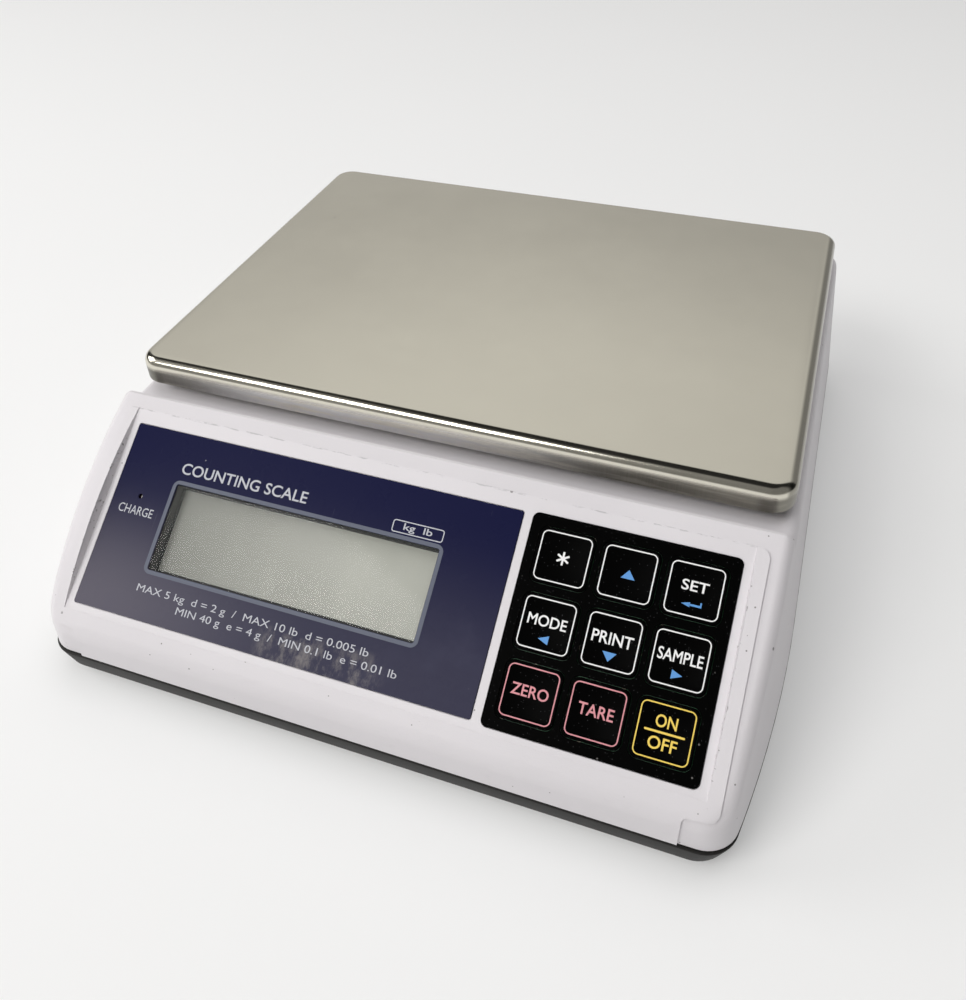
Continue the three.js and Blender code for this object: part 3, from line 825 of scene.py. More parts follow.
def housing_solid(name, sizes, sink):
    """The housing as a solid block: rows across the top, a rounded edge, and drafted walls."""
    stations = edge_stations(sizes.edge_radius / MM, sizes.lip_radius / MM, sizes.rear_radius / MM)
    columns = sizes.panel_columns
    rows = len(stations)
    obj = started(
        name, bpy.ops.mesh.primitive_grid_add, size=MM, x_subdivisions=columns, y_subdivisions=rows - 1
    )
    mesh = editing(obj)
    order = sorted(mesh.verts, key=lambda v: (round(v.co.y / MM * 1e4), v.co.x))
    grid = [order[j * (columns + 1) : (j + 1) * (columns + 1)] for j in range(rows)]

    def place_on_edge(point, out, radius, own_row, turn, low=None):
        in_by = radius * (1 - math.sin(turn)) + sink * max(0, -out[1])
        x = point[0] - in_by * out[0]
        y = point[1] - in_by * out[1]
        z = top_height(point[1] if own_row else y, radius * (1 - math.cos(turn)), sink)
        if low is not None:
            z = lerp(z, HOUSING_BOTTOM, low)
        return x, y, z

    for row, (point, out, radius, own_row) in zip(grid, stations):
        x, y, z = place_on_edge(point, out, radius, own_row, 0)
        for i, vert in enumerate(row):
            vert.co = drafted(lerp(-x, x, i / columns), y, z)
    front_x = FRONT_CORNER_X
    loop = []
    for i in range(columns):
        loop.append((grid[0][i], (lerp(-front_x, front_x, i / columns), -HALF_DEPTH), (0, -1),
                     stations[0][2], False))
    for j in range(rows):
        point, out, radius, own_row = stations[j]
        loop.append((grid[j][columns], point, out, radius, own_row))
    rear_x = REAR_CORNER_X
    for i in range(columns - 1, 0, -1):
        loop.append((grid[-1][i], (lerp(-rear_x, rear_x, i / columns), HALF_DEPTH), (0, 1),
                     stations[-1][2], False))
    for j in range(rows - 1, 0, -1):
        point, out, radius, own_row = stations[j]
        loop.append((grid[j][0], (-point[0], point[1]), (-out[0], out[1]), radius, own_row))
    ring = [item[0] for item in loop]
    edge_steps = 8
    turns = [(math.pi / 2 * k / edge_steps, None) for k in range(1, edge_steps + 1)]
    turns += [(math.pi / 2, low) for low in (0.25, 0.5, 0.75, 1)]
    ring_places = [v.index for v in ring]
    for turn, low in turns:
        mesh = bmesh.from_edit_mesh(obj.data)
        mesh.verts.ensure_lookup_table()
        verts = [mesh.verts[i] for i in ring_places]
        pairs = {frozenset(pair) for pair in zip(ring_places, ring_places[1:] + ring_places[:1])}
        bpy.ops.mesh.select_mode(type="EDGE")
        pick(obj, mesh, lambda e: frozenset(v.index for v in e.verts) in pairs, "edges")
        where = {tuple(round(c * 1e7) for c in v.co): k for k, v in enumerate(verts)}
        count = len(mesh.verts)
        bpy.ops.mesh.extrude_edges_move()
        mesh = bmesh.from_edit_mesh(obj.data)
        mesh.verts.ensure_lookup_table()
        ring_places = [0] * len(loop)
        for vert in mesh.verts[count:]:
            k = where[tuple(round(c * 1e7) for c in vert.co)]
            ring_places[k] = vert.index
            vert.co = drafted(*place_on_edge(*loop[k][1:], turn, low))
        bmesh.update_edit_mesh(obj.data)
    mesh.edges.ensure_lookup_table()
    last = set(ring_places)
    pick(obj, mesh, lambda e: all(v.index in last for v in e.verts), "edges")
    bpy.ops.mesh.edge_face_add()
    to_object_mode()
    return outward(obj)


def drafted_slab(name, inset, z0, z1):
    """The footprint drawn up, narrowing as it rises."""
    obj = slab(name, footprint(inset), z0, z1)
    for z in (z0, z1):
        mesh = editing(obj)
        pick(obj, mesh, lambda v: abs(v.co.z - z * MM) < 0.1 * MM)
        scaled(1 - SIDE_DRAFT * (z - HOUSING_BOTTOM), 1)
    to_object_mode()
    return obj


def key_place(index):
    """Middle of a key, as a place in X and Y on the panel."""
    return KEY_FIRST[0] + KEY_PITCH[0] * (index % 3), -(KEY_FIRST[1] + KEY_PITCH[1] * (index // 3))


def pad_outline():
    """The raised middle of the front, with a jog where it runs over the lip."""
    wide, narrow = 147.2, 134.4
    top, jog, end = 7, -95.8, -150
    points = [(narrow, end)]
    points += [(narrow, jog - 1.6), (narrow + 0.5, jog - 0.6), (narrow + 1.6, jog)]
    points += [(wide - 3.5, jog + 0.4), (wide - 1.2, jog + 1.4), (wide, jog + 3.6)]
    return mirrored(points + arc(wide - 4.5, top - 4.5, 4.5, 0, QUARTER, 6))


def housing_hollow():
    low = HOUSING_BOTTOM - 5
    outline = [
        (WALL - HALF_DEPTH, low),
        (WALL - HALF_DEPTH, 28),
        (-164.6, 36),
        panel_point(83, PANEL_BACK),
        panel_point(1.1, PANEL_BACK),
        (164.2, DECK_Z - DECK_THICK),
        (167.4, 80),
        (HALF_DEPTH - WALL, low),
    ]
    return shared(beam("hollow", outline, -200, 200), drafted_slab("hollow_plan", WALL, 5, 110))


def panel_tools():
    """What is cut out of the panel: the recess, both seats, the window and the lamp's hole."""
    rise = RECESS_FLOOR + PANEL_BULGE + 2
    half_section = [(RECESS_HALF, RECESS_FLOOR), (RECESS_HALF + 1, rise)]
    recess = traced("recess", [(x, -ARC_START, n) for x, n in mirrored(half_section)])
    return [
        drawn_out(recess, (0, ARC_START - ARC_END, 0)),
        slab("label_seat", panel_area(LABEL, FIT), -1.2, 6),
        slab("keypad_seat", panel_area(KEYPAD, FIT, 2.5), -2.7, 6),
        slab("window_hole", panel_area(WINDOW, 1.3), -20, 6),
        rod("lamp_hole", 1.9, -20, 6, LAMP_AT, 24),
    ]


class SCALE_OT_upper_housing(bpy.types.Operator):
    """Models the pale upper housing with its domed front, ridge and deck"""

    bl_idname = "scale.upper_housing"
    bl_label = "Upper housing"

    def execute(self, context):
        sizes = context.scene.scale_sizes
        shell = housing_solid("upper_housing", sizes, sizes.pad_step / MM)
        pad = housing_solid("pad", sizes, 0)
        added(shell, shared(pad, on_panel(slab("pad_plan", pad_outline(), -60, 14))))
        cut(shell, housing_hollow())
        added(shell, *(rod("boss", 5, 19.9, DECK_Z - 1, at, 24) for at in SCREW_AT))
        for at in POST_AT.values():
            added(shell, softened(rod("collar", 10.5, DECK_Z - 1, DECK_Z + 3, at, 48), 0.8))
        cut(shell, *(on_panel(tool) for tool in panel_tools()))
        cut(shell, *(rod("pilot", SHANK_R, 10, 38, at, 16) for at in SCREW_AT))
        cut(shell, *(rod("post_hole", 8, DECK_Z - 8, DECK_Z + 8, at, 48) for at in POST_AT.values()))
        cut(shell, on_back(rod("jack_hole", 5.6, -10, 30, sides=48), JACK_AT))
        x, z = PORT_AT
        cut(shell, softened(block("port_hole", x - 9.6, x + 9.6, 160, 180, z - 5.6, z + 5.6), 1, 3))
        plastic = moulded("shell_plastic", paint("housing"), 0.46, 0.55, 0.06, dirt=1.0, groove=True)
        finished(shell, plastic, "top_housing", slot="housing_white", smooth=28)
        return {"FINISHED"}


class SCALE_OT_base(bpy.types.Operator):
    """Models the charcoal lower housing with its feet pockets, and the battery door"""

    bl_idname = "scale.base"
    bl_label = "Lower housing"

    def execute(self, context):
        feet = FOOT_AT.values()
        inner_floor = 6.2
        groove_top = 4.9
        base = slab("lower_housing", footprint(-0.45), 4.2, 15.4)
        mesh = editing(base)
        pick(base, mesh, lambda v: v.co.z < 10 * MM)
        scaled(0.982, 0.986)
        to_object_mode()
        softened(base, 0.9, 3, 50)
        added(base, slab("tongue", footprint(3.4), 14.4, 19.6))
        cut(base, slab("inside", footprint(5.6), 7.2, 40))
        for at in feet:
            added(base, rod("cup", 23.5, inner_floor, 17, at, 64), rod("boss", 8, 16, 30, at))
        added(base, *(rod("screw_boss", 7, inner_floor, 19.5, at) for at in SCREW_AT))
        added(base, *(rod("board_post", 4, inner_floor, 13.7, (x, y), 24)
                     for x in (-64, 64) for y in (-112, -52)))
        for at in feet:
            cut(base, softened(rod("pocket", 21, 0, 14, at, 64), 1, 3), rod("thread_hole", 4.3, 0, 40, at))
        for at in SCREW_AT:
            cut(base, rod("head_hole", 4.2, 0, 12, at), rod("shank_hole", SHANK_R, 0, 30, at, 16))
        x0, x1, y0, y1 = BATTERY_DOOR
        cut(base, slab("door_hole", rounded(x0, x1, y0, y1, 3), 0, 20))
        cut(base, *(slab("vent", oblong(1.5, 20, 1.4, at=(10 * i - 40, -40)), 0, 20) for i in range(9)))
        cut(base, *(block("groove", -95, 95, y - 0.6, y + 0.6, 2, groove_top) for y in (-120, -20)))
        plastic = moulded("base_plastic", paint("base"), 0.55, 0.45, 0.04, dirt=0.6, dark=(0.2, 0.19, 0.18))
        finished(base, plastic, "base_housing", slot="housing_charcoal")
        door = slab("battery_door", rounded(x0 + FIT, x1 - FIT, y0 + FIT, y1 - FIT, 3 - FIT), 4.4, 7)
        softened(door, 0.5, 2, 50)
        grips = [y0 + 58 + 2.6 * i for i in range(6)]
        cut(door, *(block("grip", x0 + 30, x1 - 30, y, y + 1.2, 3, groove_top) for y in grips))
        finished(door, plastic, "battery_cover", slot="housing_charcoal")
        return {"FINISHED"}


class SCALE_OT_tray(bpy.types.Operator):
    """Models the stainless tray: folded edges, rounded corners and a plain skirt"""

    bl_idname = "scale.tray"
    bl_label = "Tray"

    def execute(self, context):
        sizes = context.scene.scale_sizes
        top = 107
        tray = block("tray", -153, 153, -70, 152, 94.7, top)
        mesh = editing(tray, "EDGE")
        pick(tray, mesh, lambda e: abs(e.verts[0].co.z - e.verts[1].co.z) > MM, "edges")
        bpy.ops.mesh.bevel(offset=sizes.tray_corner, segments=12, affect="EDGES")
        bpy.ops.mesh.select_mode(type="FACE")
        pick(tray, edit_mesh(tray), lambda f: f.normal.z < -0.9, "faces")
        bpy.ops.mesh.delete(type="FACE")
        bpy.ops.mesh.select_mode(type="EDGE")
        pick(tray, edit_mesh(tray), lambda e: all(v.co.z > (top - 0.1) * MM for v in e.verts), "edges")
        bpy.ops.mesh.bevel(offset=sizes.tray_roll, segments=9, affect="EDGES", clamp_overlap=False)
        modified(tray, "SOLIDIFY", thickness=MM, offset=-1)
        finished(tray, steel_sheet("tray_steel", paint("steel")), "platter", slot="platter_steel",
                 body="tray")
        return {"FINISHED"}


# ------------------------------------------------------------- printing


def printed_shape(name, outline, n, hole=None):
    """A thin patch of ink on the panel, in the panel's flat terms."""
    patch = slab(name, outline, n + PRINT_LIFT, n + PRINT_LIFT + PRINT_THICK)
    if hole:
        cut(patch, slab("hole", hole, n - 1, n + 1))
    return patch


def printed_words(name, words, x0, x1, s0, s1, n=0, bold=0.0):
    """Words in ink that fill an area of the panel: across from x0 to x1, down from s0 to s1."""
    obj = started(name, bpy.ops.object.text_add)
    settings = {"body": words, "bevel_depth": bold, "bevel_resolution": 0, "extrude": 0.02, "resolution_u": 4}
    for label, value in settings.items():
        setattr(obj.data, label, value)
    choose(obj)
    bpy.ops.object.convert(target="MESH")
    obj = bpy.context.object
    low, stretch = [], []
    for axis, size in enumerate((x1 - x0, s1 - s0, PRINT_THICK)):
        places = [v.co[axis] for v in obj.data.vertices]
        low.append(-min(places))
        stretch.append(size / (max(places) - min(places)) * MM)
    fit = Matrix.Diagonal((*stretch, 1)) @ Matrix.Translation(low)
    settle(obj, shifted(x0, -s1, n + PRINT_LIFT) @ fit)
    editing(obj, chosen="SELECT")
    bpy.ops.mesh.remove_doubles(threshold=0.0005 * MM)
    to_object_mode()
    return obj


def triangle(x, y, width, height, turn):
    """A small arrow head that points up the slope, then turned."""
    points = [(-width / 2, -height / 2), (width / 2, -height / 2), (0, height / 2)]
    c, d = math.cos(turn), math.sin(turn)
    return [(x + c * px - d * py, y + d * px + c * py) for px, py in points]


def put_on_panel(objs, finish, body="scale_body"):
    for obj in objs:
        finished(on_panel(obj), finish, body=body, smooth=0)


class SCALE_OT_label(bpy.types.Operator):
    """Models the label film with its window, border and plain function words"""

    bl_idname = "scale.label"
    bl_label = "Label"

    def execute(self, context):
        film = slab("label_sheet", panel_area(LABEL), -0.9, 0)
        cut(film, slab("window", panel_area(WINDOW), -5, 5), rod("lamp_window", 1.1, -5, 5, LAMP_AT))
        softened(film, 0.12, 1, 50)
        navy = label_film("label_print", paint("label_upper"), paint("label_lower"))
        finished(on_panel(film), navy, "display_label", slot="label_navy")
        grey = inked("ink_grey", paint("print_grey"))
        pale = inked("ink_pale", (0.52, 0.53, 0.58))
        border = printed_shape("display_border", panel_area(WINDOW, 1.9, 1.4), 0, panel_area(WINDOW, 0.15))
        put_on_panel([border], grey)
        box = (-3.9, 19.3, 15.4, 20.8)
        words = [
            printed_words("title_words", "COUNTING SCALE", -108.6, -45, 13.2, 18.4, bold=0.012),
            printed_words("unit_words", "kg  lb", 1.2, 14.2, 16.3, 20.1, bold=0.01),
            printed_words("charge_words", "CHARGE", -133.2, -115.2, 37.2, 41.2),
            printed_words("range_words_1", "MAX 5 kg  d = 2 g  /  MAX 10 lb  d = 0.005 lb", -110, 2,
                          69.4, 73.6),
            printed_words("range_words_2", "MIN 40 g  e = 4 g  /  MIN 0.1 lb  e = 0.01 lb", -88, 16,
                          74.6, 78.8),
            printed_shape("unit_box", panel_area(box, 0, 1.2), 0, panel_area(box, -0.45, 1.2)),
        ]
        put_on_panel(words, pale)
        return {"FINISHED"}


class SCALE_OT_display(bpy.types.Operator):
    """Models the display's stepped frame, its panel and the clear pane"""

    bl_idname = "scale.display"
    bl_label = "Display"

    def execute(self, context):
        dark = moulded("display_frame_plastic", (0.020, 0.022, 0.024), 0.5, 0.5, 0.02)
        surround = slab("display_frame", panel_area(WINDOW, 1), -4.9, -1.3)
        added(surround, slab("flange", panel_area(WINDOW, 6.4), -6.4, -4.8))
        cut(surround, slab("upper", panel_area(WINDOW), -10, 5))
        finished(on_panel(surround), dark, "lcd_frame", slot="display_frame")
        glass_top = -6.9
        glass = softened(slab("display_glass", panel_area(WINDOW, 4), -8.7, glass_top), 0.15, 1, 50)
        shown = display_film("display_film", paint("display"))
        finished(on_panel(glass), shown, "lcd_panel", slot="display_grey")
        x0, x1, s0, s1 = WINDOW
        rim = panel_area((x0 - 2, x1 + 2, s0 - 2, s1 + 2))
        opening = panel_area((x0 + 1.2, x1 - 1.0, s0 + 1.0, s1 - 1.0), 0, 0.6)
        mask = printed_shape("display_mask", rim, glass_top, opening)
        put_on_panel([mask], inked("display_mask_ink", (0.018, 0.020, 0.020)))
        pane = softened(slab("clear_pane", panel_area(WINDOW, -FIT), -0.9, -0.05), 0.1, 1, 50)
        clear = clear_pane("window_plastic", 0.04, (0.12, 0.13, 0.12))
        finished(on_panel(pane), clear, "lcd_window", slot="window_clear")
        return {"FINISHED"}


def key_blank():
    """A key at the panel's origin: rounded pad with a fine raised rim."""
    key = slab("key_blank", oblong(KEY_WIDTH / 2, KEY_HEIGHT / 2, 3.3, 8), -0.9, 0.2)
    mesh = editing(key, "FACE")
    pick(key, mesh, lambda f: f.normal.z > 0.9, "faces")
    for rise, size in ((0.35, 0.965), (0.15, 0.975)):
        grown((0, 0, rise * MM))
        scaled(size, size)
    for width, drop in ((0.35, 0.04), (0.45, 0.16)):
        bpy.ops.mesh.inset(thickness=width * MM)
        bpy.ops.transform.translate(value=(0, 0, -drop * MM))
    to_object_mode()
    return key


class SCALE_OT_keypad(bpy.types.Operator):
    """Models the keypad film, its nine keys, their outlines and function words"""

    bl_idname = "scale.keypad"
    bl_label = "Keypad"

    # Words of a key: text, width, distance below the key's middle, and height.
    words = {
        "set": [("SET", 10.4, -1.6, 4.2)],
        "mode": [("MODE", 15.9, -1.4, 4.5)],
        "print": [("PRINT", 16.2, -1.3, 4.7)],
        "sample": [("SAMPLE", 17.2, -1.2, 4.7)],
        "zero": [("ZERO", 15.0, -0.9, 4.6)],
        "tare": [("TARE", 13.9, -0.6, 4.6)],
        "power": [("ON", 8.1, -3.9, 4.7), ("OFF", 10.8, 4.2, 4.7)],
    }
    # Arrow of a key: shift across and down, width, height, and quarter turns.
    arrows = {
        "up": (0.4, 0, 5.6, 3.6, 0),
        "mode": (0, -5.6, 3.5, 4.2, 1),
        "print": (0, -5.6, 5.6, 3.6, 2),
        "sample": (0, -5.6, 3.5, 4.2, -1),
    }
    inks = {"zero": "pink", "tare": "pink", "power": "yellow"}

    def star(self, x, y):
        arms = []
        for i in range(3):
            arm = slab(f"star_arm_{i}", oblong(2.75, 0.42, 0.2, 3), 0, PRINT_THICK)
            arms.append(settle(arm, shifted(x, y, FACE_N + PRINT_LIFT) @ round_z(math.radians(30 + 60 * i))))
        added(*arms).name = "word_star"
        return arms[0]

    def marks(self, name, x, y):
        """What is printed on one key in its own ink."""
        printed = []
        for text, width, down, height in self.words.get(name, []):
            area = (x - width / 2, x + width / 2, down - y - height / 2, down - y + height / 2)
            printed.append(printed_words(f"word_{text.lower()}", text, *area, FACE_N, 0.014))
        if name == "power":
            printed.append(printed_shape("power_bar", oblong(7.6, 0.4, 0.3, at=(x, y - 0.15)), FACE_N))
        if name == "star":
            printed.append(self.star(x, y))
        return printed

    def pointers(self, name, x, y):
        """The blue arrows of one key."""
        outlines = {}
        if name in self.arrows:
            across, down, width, height, turns = self.arrows[name]
            outlines[f"arrow_{name}"] = triangle(x + across, y + down, width, height, turns * QUARTER)
        if name == "set":
            y -= 5.7
            corner = [(-1.2, -0.4), (3.7, -0.4), (3.7, 1.6), (3.1, 1.6), (3.1, 0.4), (-1.2, 0.4)]
            outlines["arrow_enter_tip"] = triangle(x - 2.4, y, 1.9, 3.4, QUARTER)
            outlines["arrow_enter_line"] = [(x + px, y + py) for px, py in corner]
        return [printed_shape(label, outline, FACE_N) for label, outline in outlines.items()]

    def execute(self, context):
        line = context.scene.scale_sizes.outline_width / MM
        film = keypad_film("keypad_film", paint("keypad"))
        names = ["star", "up", "set", "mode", "print", "sample", "zero", "tare", "power"]
        places = {name: key_place(i) for i, name in enumerate(names)}
        sheet = slab("keypad_sheet", panel_area(KEYPAD, 0, 2.5, 8), -1.3, 0.2)
        half_hole = (KEY_WIDTH / 2 + FIT, KEY_HEIGHT / 2 + FIT)
        cut(sheet, *(slab("key_hole", oblong(*half_hole, 3.6, 8, at), -5, 5) for at in places.values()))
        softened(sheet, 0.12, 1, 50)
        finished(on_panel(sheet), film, "keypad_overlay", slot="keypad_black")
        inks = {name: inked(f"ink_{name}", paint(f"print_{name}"))
                for name in ("white", "pink", "yellow", "blue")}
        blank = key_blank()
        half_w, half_h = 10.55, 10.25
        inner = oblong(half_w - line, half_h - line, 1.9, 8)
        ring = printed_shape("outline_blank", oblong(half_w, half_h, 2.5, 8), FACE_N, inner)
        for name, (x, y) in places.items():
            body = f"{name}_key"
            ink = inks[self.inks.get(name, "white")]
            top = on_panel(copied(blank, f"{name}_key_top", shifted(x, y)))
            finished(top, film, f"key_{name}", slot="keypad_black", body=body)
            put_on_panel([copied(ring, f"{name}_key_outline", shifted(x, y))], ink, body)
            put_on_panel(self.marks(name, x, y), ink, body)
            put_on_panel(self.pointers(name, x, y), inks["blue"], body)
        removed(blank, ring)
        return {"FINISHED"}


# --------------------------------------------------------- feet, back, inside


def ribs(radius, depth, low, high, pitch):
    """Profile points of a ribbed wall from low to high."""
    points = []
    count = int((high - low) / pitch)
    step = (high - low) / count
    for i in range(count):
        z = low + i * step
        points += [(radius - depth, z), (radius, z + 0.35 * step), (radius, z + 0.65 * step)]
    return points + [(radius - depth, high)]


class SCALE_OT_feet(bpy.types.Operator):
    """Models the four levelling feet: rubber pad, fluted wheel and threaded screw"""

    bl_idname = "scale.feet"
    bl_label = "Levelling feet"

    def execute(self, context):
        zinc = metal("foot_zinc", (0.52, 0.54, 0.56), 0.34, (1, 1, 0.2), 0.5, 0.01)
        plastic = moulded("wheel_plastic", (0.030, 0.029, 0.028), 0.5, 0.4, 0.03)
        pad_rubber = rubber("pad_rubber", (0.014, 0.014, 0.014))
        line = [(0, 0.5), (4, 0.5), (4.4, 0), (6.4, 0), (6.8, 0.5), (8.8, 0.5), (9.2, 0), (11.2, 0),
                (11.5, 0.5)]
        line += [(12.4, 0.5), (12.7, 0), (13.6, 0), (14, 0.6), (14, 1.4), (13.5, 1.6), (13.5, 2.1),
                 (13.9, 2.4)]
        line += [(13.6, 3.2), (12.8, 3.6), (6, 3.6), (5.6, 3.5), (0, 3.5)]
        pad = turned("pad", line)
        screw = turned("screw",
                       [(0, 3.95), (2.9, 3.95), *ribs(3.9, 0.5, 4.3, 31.2, 1.25), (2.8, 32), (0, 32)], 24)
        line = [(4.4, 4.6), (4.9, 4.4), (15.9, 4.4), (17, 5.5), (17, 8.8), (15.9, 9.9), (12.5, 9.9),
                (12, 9.2)]
        line += [(7, 9.2), (6.5, 9.9), (4.9, 9.9), (4.4, 9.6)]
        wheel = turned("wheel", line, 72)
        cut(wheel, *(rod("flute", 2.2, 0, 20, at, 24) for at in arc(0, 0, 18, 0, 4 * QUARTER, 8)[:-1]))
        for tag, at in FOOT_AT.items():
            looks = (
                ("pad", pad, pad_rubber, "travel", "pad_rubber"),
                ("wheel", wheel, plastic, "turn", "black_plastic"),
                ("screw", screw, zinc, "turn", "zinc_steel"),
            )
            for part, blank, finish, motion, slot in looks:
                piece = copied(blank, f"foot_{tag}_{part}", shifted(*at))
                finished(piece, finish, f"foot_{part}_{tag}", slot=slot, body=f"foot_{tag}_{motion}")
        removed(pad, wheel, screw)
        return {"FINISHED"}


class SCALE_OT_fasteners(bpy.types.Operator):
    """Models the housing screws with their cross recesses"""

    bl_idname = "scale.fasteners"
    bl_label = "Housing screws"

    def execute(self, context):
        zinc = metal("screw_zinc", (0.50, 0.51, 0.52), 0.36, (1, 1, 0.3), 0.5, 0.01)
        line = [(0, 8.2), (2.2, 8.25), (3.3, 8.7), (3.8, 9.6), (3.8, 11.7), (2, 11.7),
                *ribs(2, 0.35, 12, 33, 1.4)]
        screw = turned("screw", [*line, (1, 34), (0, 34)], 32)
        for i in range(2):
            cut(screw, settle(block("wing", -0.5, 0.5, -2.3, 2.3, 7, 10), round_z(QUARTER * i)))
        for i, at in enumerate(SCREW_AT, 1):
            piece = copied(screw, f"case_screw_{i}", shifted(*at) @ round_z(0.4 * i))
            finished(piece, zinc, f"housing_screw_{i}", slot="zinc_steel")
        removed(screw)
        return {"FINISHED"}


def port_outline(grow):
    """The D shape of the serial port, with corners of one radius."""
    r = 1.2
    corners = ((8.3, 4.2), (-8.3, 4.2), (-7, -4.2), (7, -4.2))
    outline = []
    for i, (x, y) in enumerate(corners):
        centre = (x - math.copysign(r - grow, x), y - math.copysign(r - grow, y))
        outline += arc(*centre, r, i * QUARTER, (i + 1) * QUARTER, 4)
    return outline


class SCALE_OT_sockets(bpy.types.Operator):
    """Models the power jack and the nine-way serial port on the back"""

    bl_idname = "scale.sockets"
    bl_label = "Rear sockets"

    def execute(self, context):
        black = moulded("socket_plastic", (0.012, 0.012, 0.013), 0.4, 0.4, 0.02)
        bright = metal("socket_plate", (0.62, 0.62, 0.60), 0.3, (1, 0.3, 1), 0.5, 0.006)
        brass = metal("contact_brass", (0.70, 0.52, 0.24), 0.28)
        jack = turned("jack",
                      [(0, -2), (5.2, -2), (5.2, 9.4), (4.6, 10), (3.7, 10), (3.2, 9.6), (3.2, 1), (0, 1)])
        added(jack, softened(block("jack_body", -7, 7, -6, 6, -4, 6.4), 0.6))
        cut(jack, rod("jack_bore", 3.2, 1, 20, sides=48))
        finished(on_back(jack, JACK_AT), black, "power_jack", slot="black_plastic")
        pin = turned("jack_pin", [(0, 0.8), (0.95, 0.8), (0.95, 7.4), (0.6, 8.2), (0, 8.4)], 24)
        finished(on_back(pin, JACK_AT), brass, smooth=40)
        shell = softened(slab("port_shell", port_outline(0), -4, 10), 0.25, 2, 50)
        added(shell, softened(slab("flange", oblong(15.5, 6.2, 1.5), 4.4, 6), 0.2, 1, 50))
        cut(shell, slab("well", port_outline(-0.6), 3.5, 12))
        finished(on_back(shell, PORT_AT), bright, "serial_port", slot="zinc_steel")
        places = [(i - 2, 1.3) for i in range(5)] + [(i - 1.5, -1.3) for i in range(4)]
        line = [(0, 3.6), (0.45, 3.6), (0.45, 8.2), (0.25, 8.7), (0, 8.8)]
        contacts = [turned("port_contacts", line, 12, (2.6 * column, y)) for column, y in places]
        choose(*contacts[1:], contacts[0])
        bpy.ops.object.join()
        finished(on_back(contacts[0], PORT_AT), brass, smooth=40)
        finished(on_back(slab("port_insert", port_outline(-0.8), 3.55, 4.2), PORT_AT), black)
        return {"FINISHED"}


class SCALE_OT_supports(bpy.types.Operator):
    """Models the tray's rubber seats, and the bubble level on the deck"""

    bl_idname = "scale.supports"
    bl_label = "Tray seats and level"

    def execute(self, context):
        seat_rubber = rubber("seat_rubber", (0.016, 0.016, 0.016))
        line = [(0, 95.3), (8.2, 95.3), (9, 96.1), (9, 97.6), (8.5, 98), (8.5, 99), (9, 99.4), (9, 101),
                (8, 103.4)]
        line += [(6.6, 105), (5.4, 105.6), (3, 105.7), (2.4, 105.2), (0, 105.2)]
        seat = turned("seat", line)
        for tag, at in POST_AT.items():
            piece = copied(seat, f"tray_seat_{tag}", shifted(*at))
            finished(piece, seat_rubber, f"platter_seat_{tag}", slot="seat_rubber", body="platform",
                     smooth=35)
        removed(seat)
        level = (0, 100)
        plastic = moulded("level_ring_plastic", (0.60, 0.60, 0.60), 0.4, 0.4, 0.02)
        ring = turned("level_ring",
                      [(7, 87.3), (9, 87.3), (9, 94.8), (8.4, 95.6), (7.6, 95.6), (7, 95)], at=level)
        finished(ring, plastic, "bubble_level", slot="level_vial")
        vial = turned("level_fluid",
                      [(0, 87.4), (6.8, 87.4), (6.8, 94), (5.5, 94.7), (3, 95.1), (0, 95.2)], at=level)
        fluid = two_tone("level_fluid", (0.30, 0.48, 0.05), (0.42, 0.60, 0.08), 5, 0.12, 0.06,
                         Specular_IOR_Level=0.7, Coat_Weight=0.8, Coat_Roughness=0.04)
        finished(vial, fluid, smooth=40)
        line = [(0, 94.6), (2.2, 94.9), (2.5, 95.25), (1.6, 95.5), (0, 95.6)]
        bubble = turned("level_bubble", line, 32, (0.4, 100.3))
        air = two_tone("level_air", (0.62, 0.74, 0.35), (0.75, 0.85, 0.5), 3, 0.08, 0.05,
                       Specular_IOR_Level=0.9, Coat_Weight=1.0, Coat_Roughness=0.03)
        finished(bubble, air, smooth=40)
        mark = turned("level_mark", [(3.3, 95.05), (3.6, 95.05), (3.6, 95.25), (3.3, 95.25)], at=level)
        finished(mark, inked("level_mark_ink", (0.02, 0.02, 0.02)))
        return {"FINISHED"}


class SCALE_OT_mechanism(bpy.types.Operator):
    """Gives the pieces inside the housing their materials"""

    bl_idname = "scale.mechanism"
    bl_label = "Mechanism and electronics"

    def execute(self, context):
        alloy = metal("cast_alloy", (0.56, 0.57, 0.59), 0.45, grain=0.7, depth=0.03)
        zinc = metal("plated_steel", (0.50, 0.52, 0.54), 0.36, (1, 0.2, 1))
        board = circuit_board("circuit_board")
        black = moulded("part_plastic", (0.016, 0.016, 0.017), 0.5, 0.4, 0.03)
        jacket = moulded("cable_jacket", (0.06, 0.06, 0.062), 0.45, 0.8, 0.02)
        guide = moulded("light_guide", (0.72, 0.75, 0.74), 0.3, 1.2, 0.01)
        lens = two_tone("lamp_lens", (0.010, 0.002, 0.003), (0.02, 0.004, 0.005), 1, 0.2, 0.1,
                        Specular_IOR_Level=0.7, Coat_Weight=0.8, Coat_Roughness=0.05)
        bolts = [f"cell_bolt_{i}" for i in range(1, 5)]
        finishes = (
            (alloy, ["platter_frame", "load_cell", "load_cell_riser"]),
            (zinc, ["base_plate", "overload_stop", *bolts]),
            (jacket, ["load_cell_cable"]),
            (board, ["main_board", "display_board", "keypad_circuit"]),
            (black, ["buzzer", "battery"]),
            (guide, ["lcd_backlight"]),
            (lens, ["charge_lamp"]),
        )
        for finish, names in finishes:
            for name in names:
                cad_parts[name].material_slots[0].material = finish
        return {"FINISHED"}


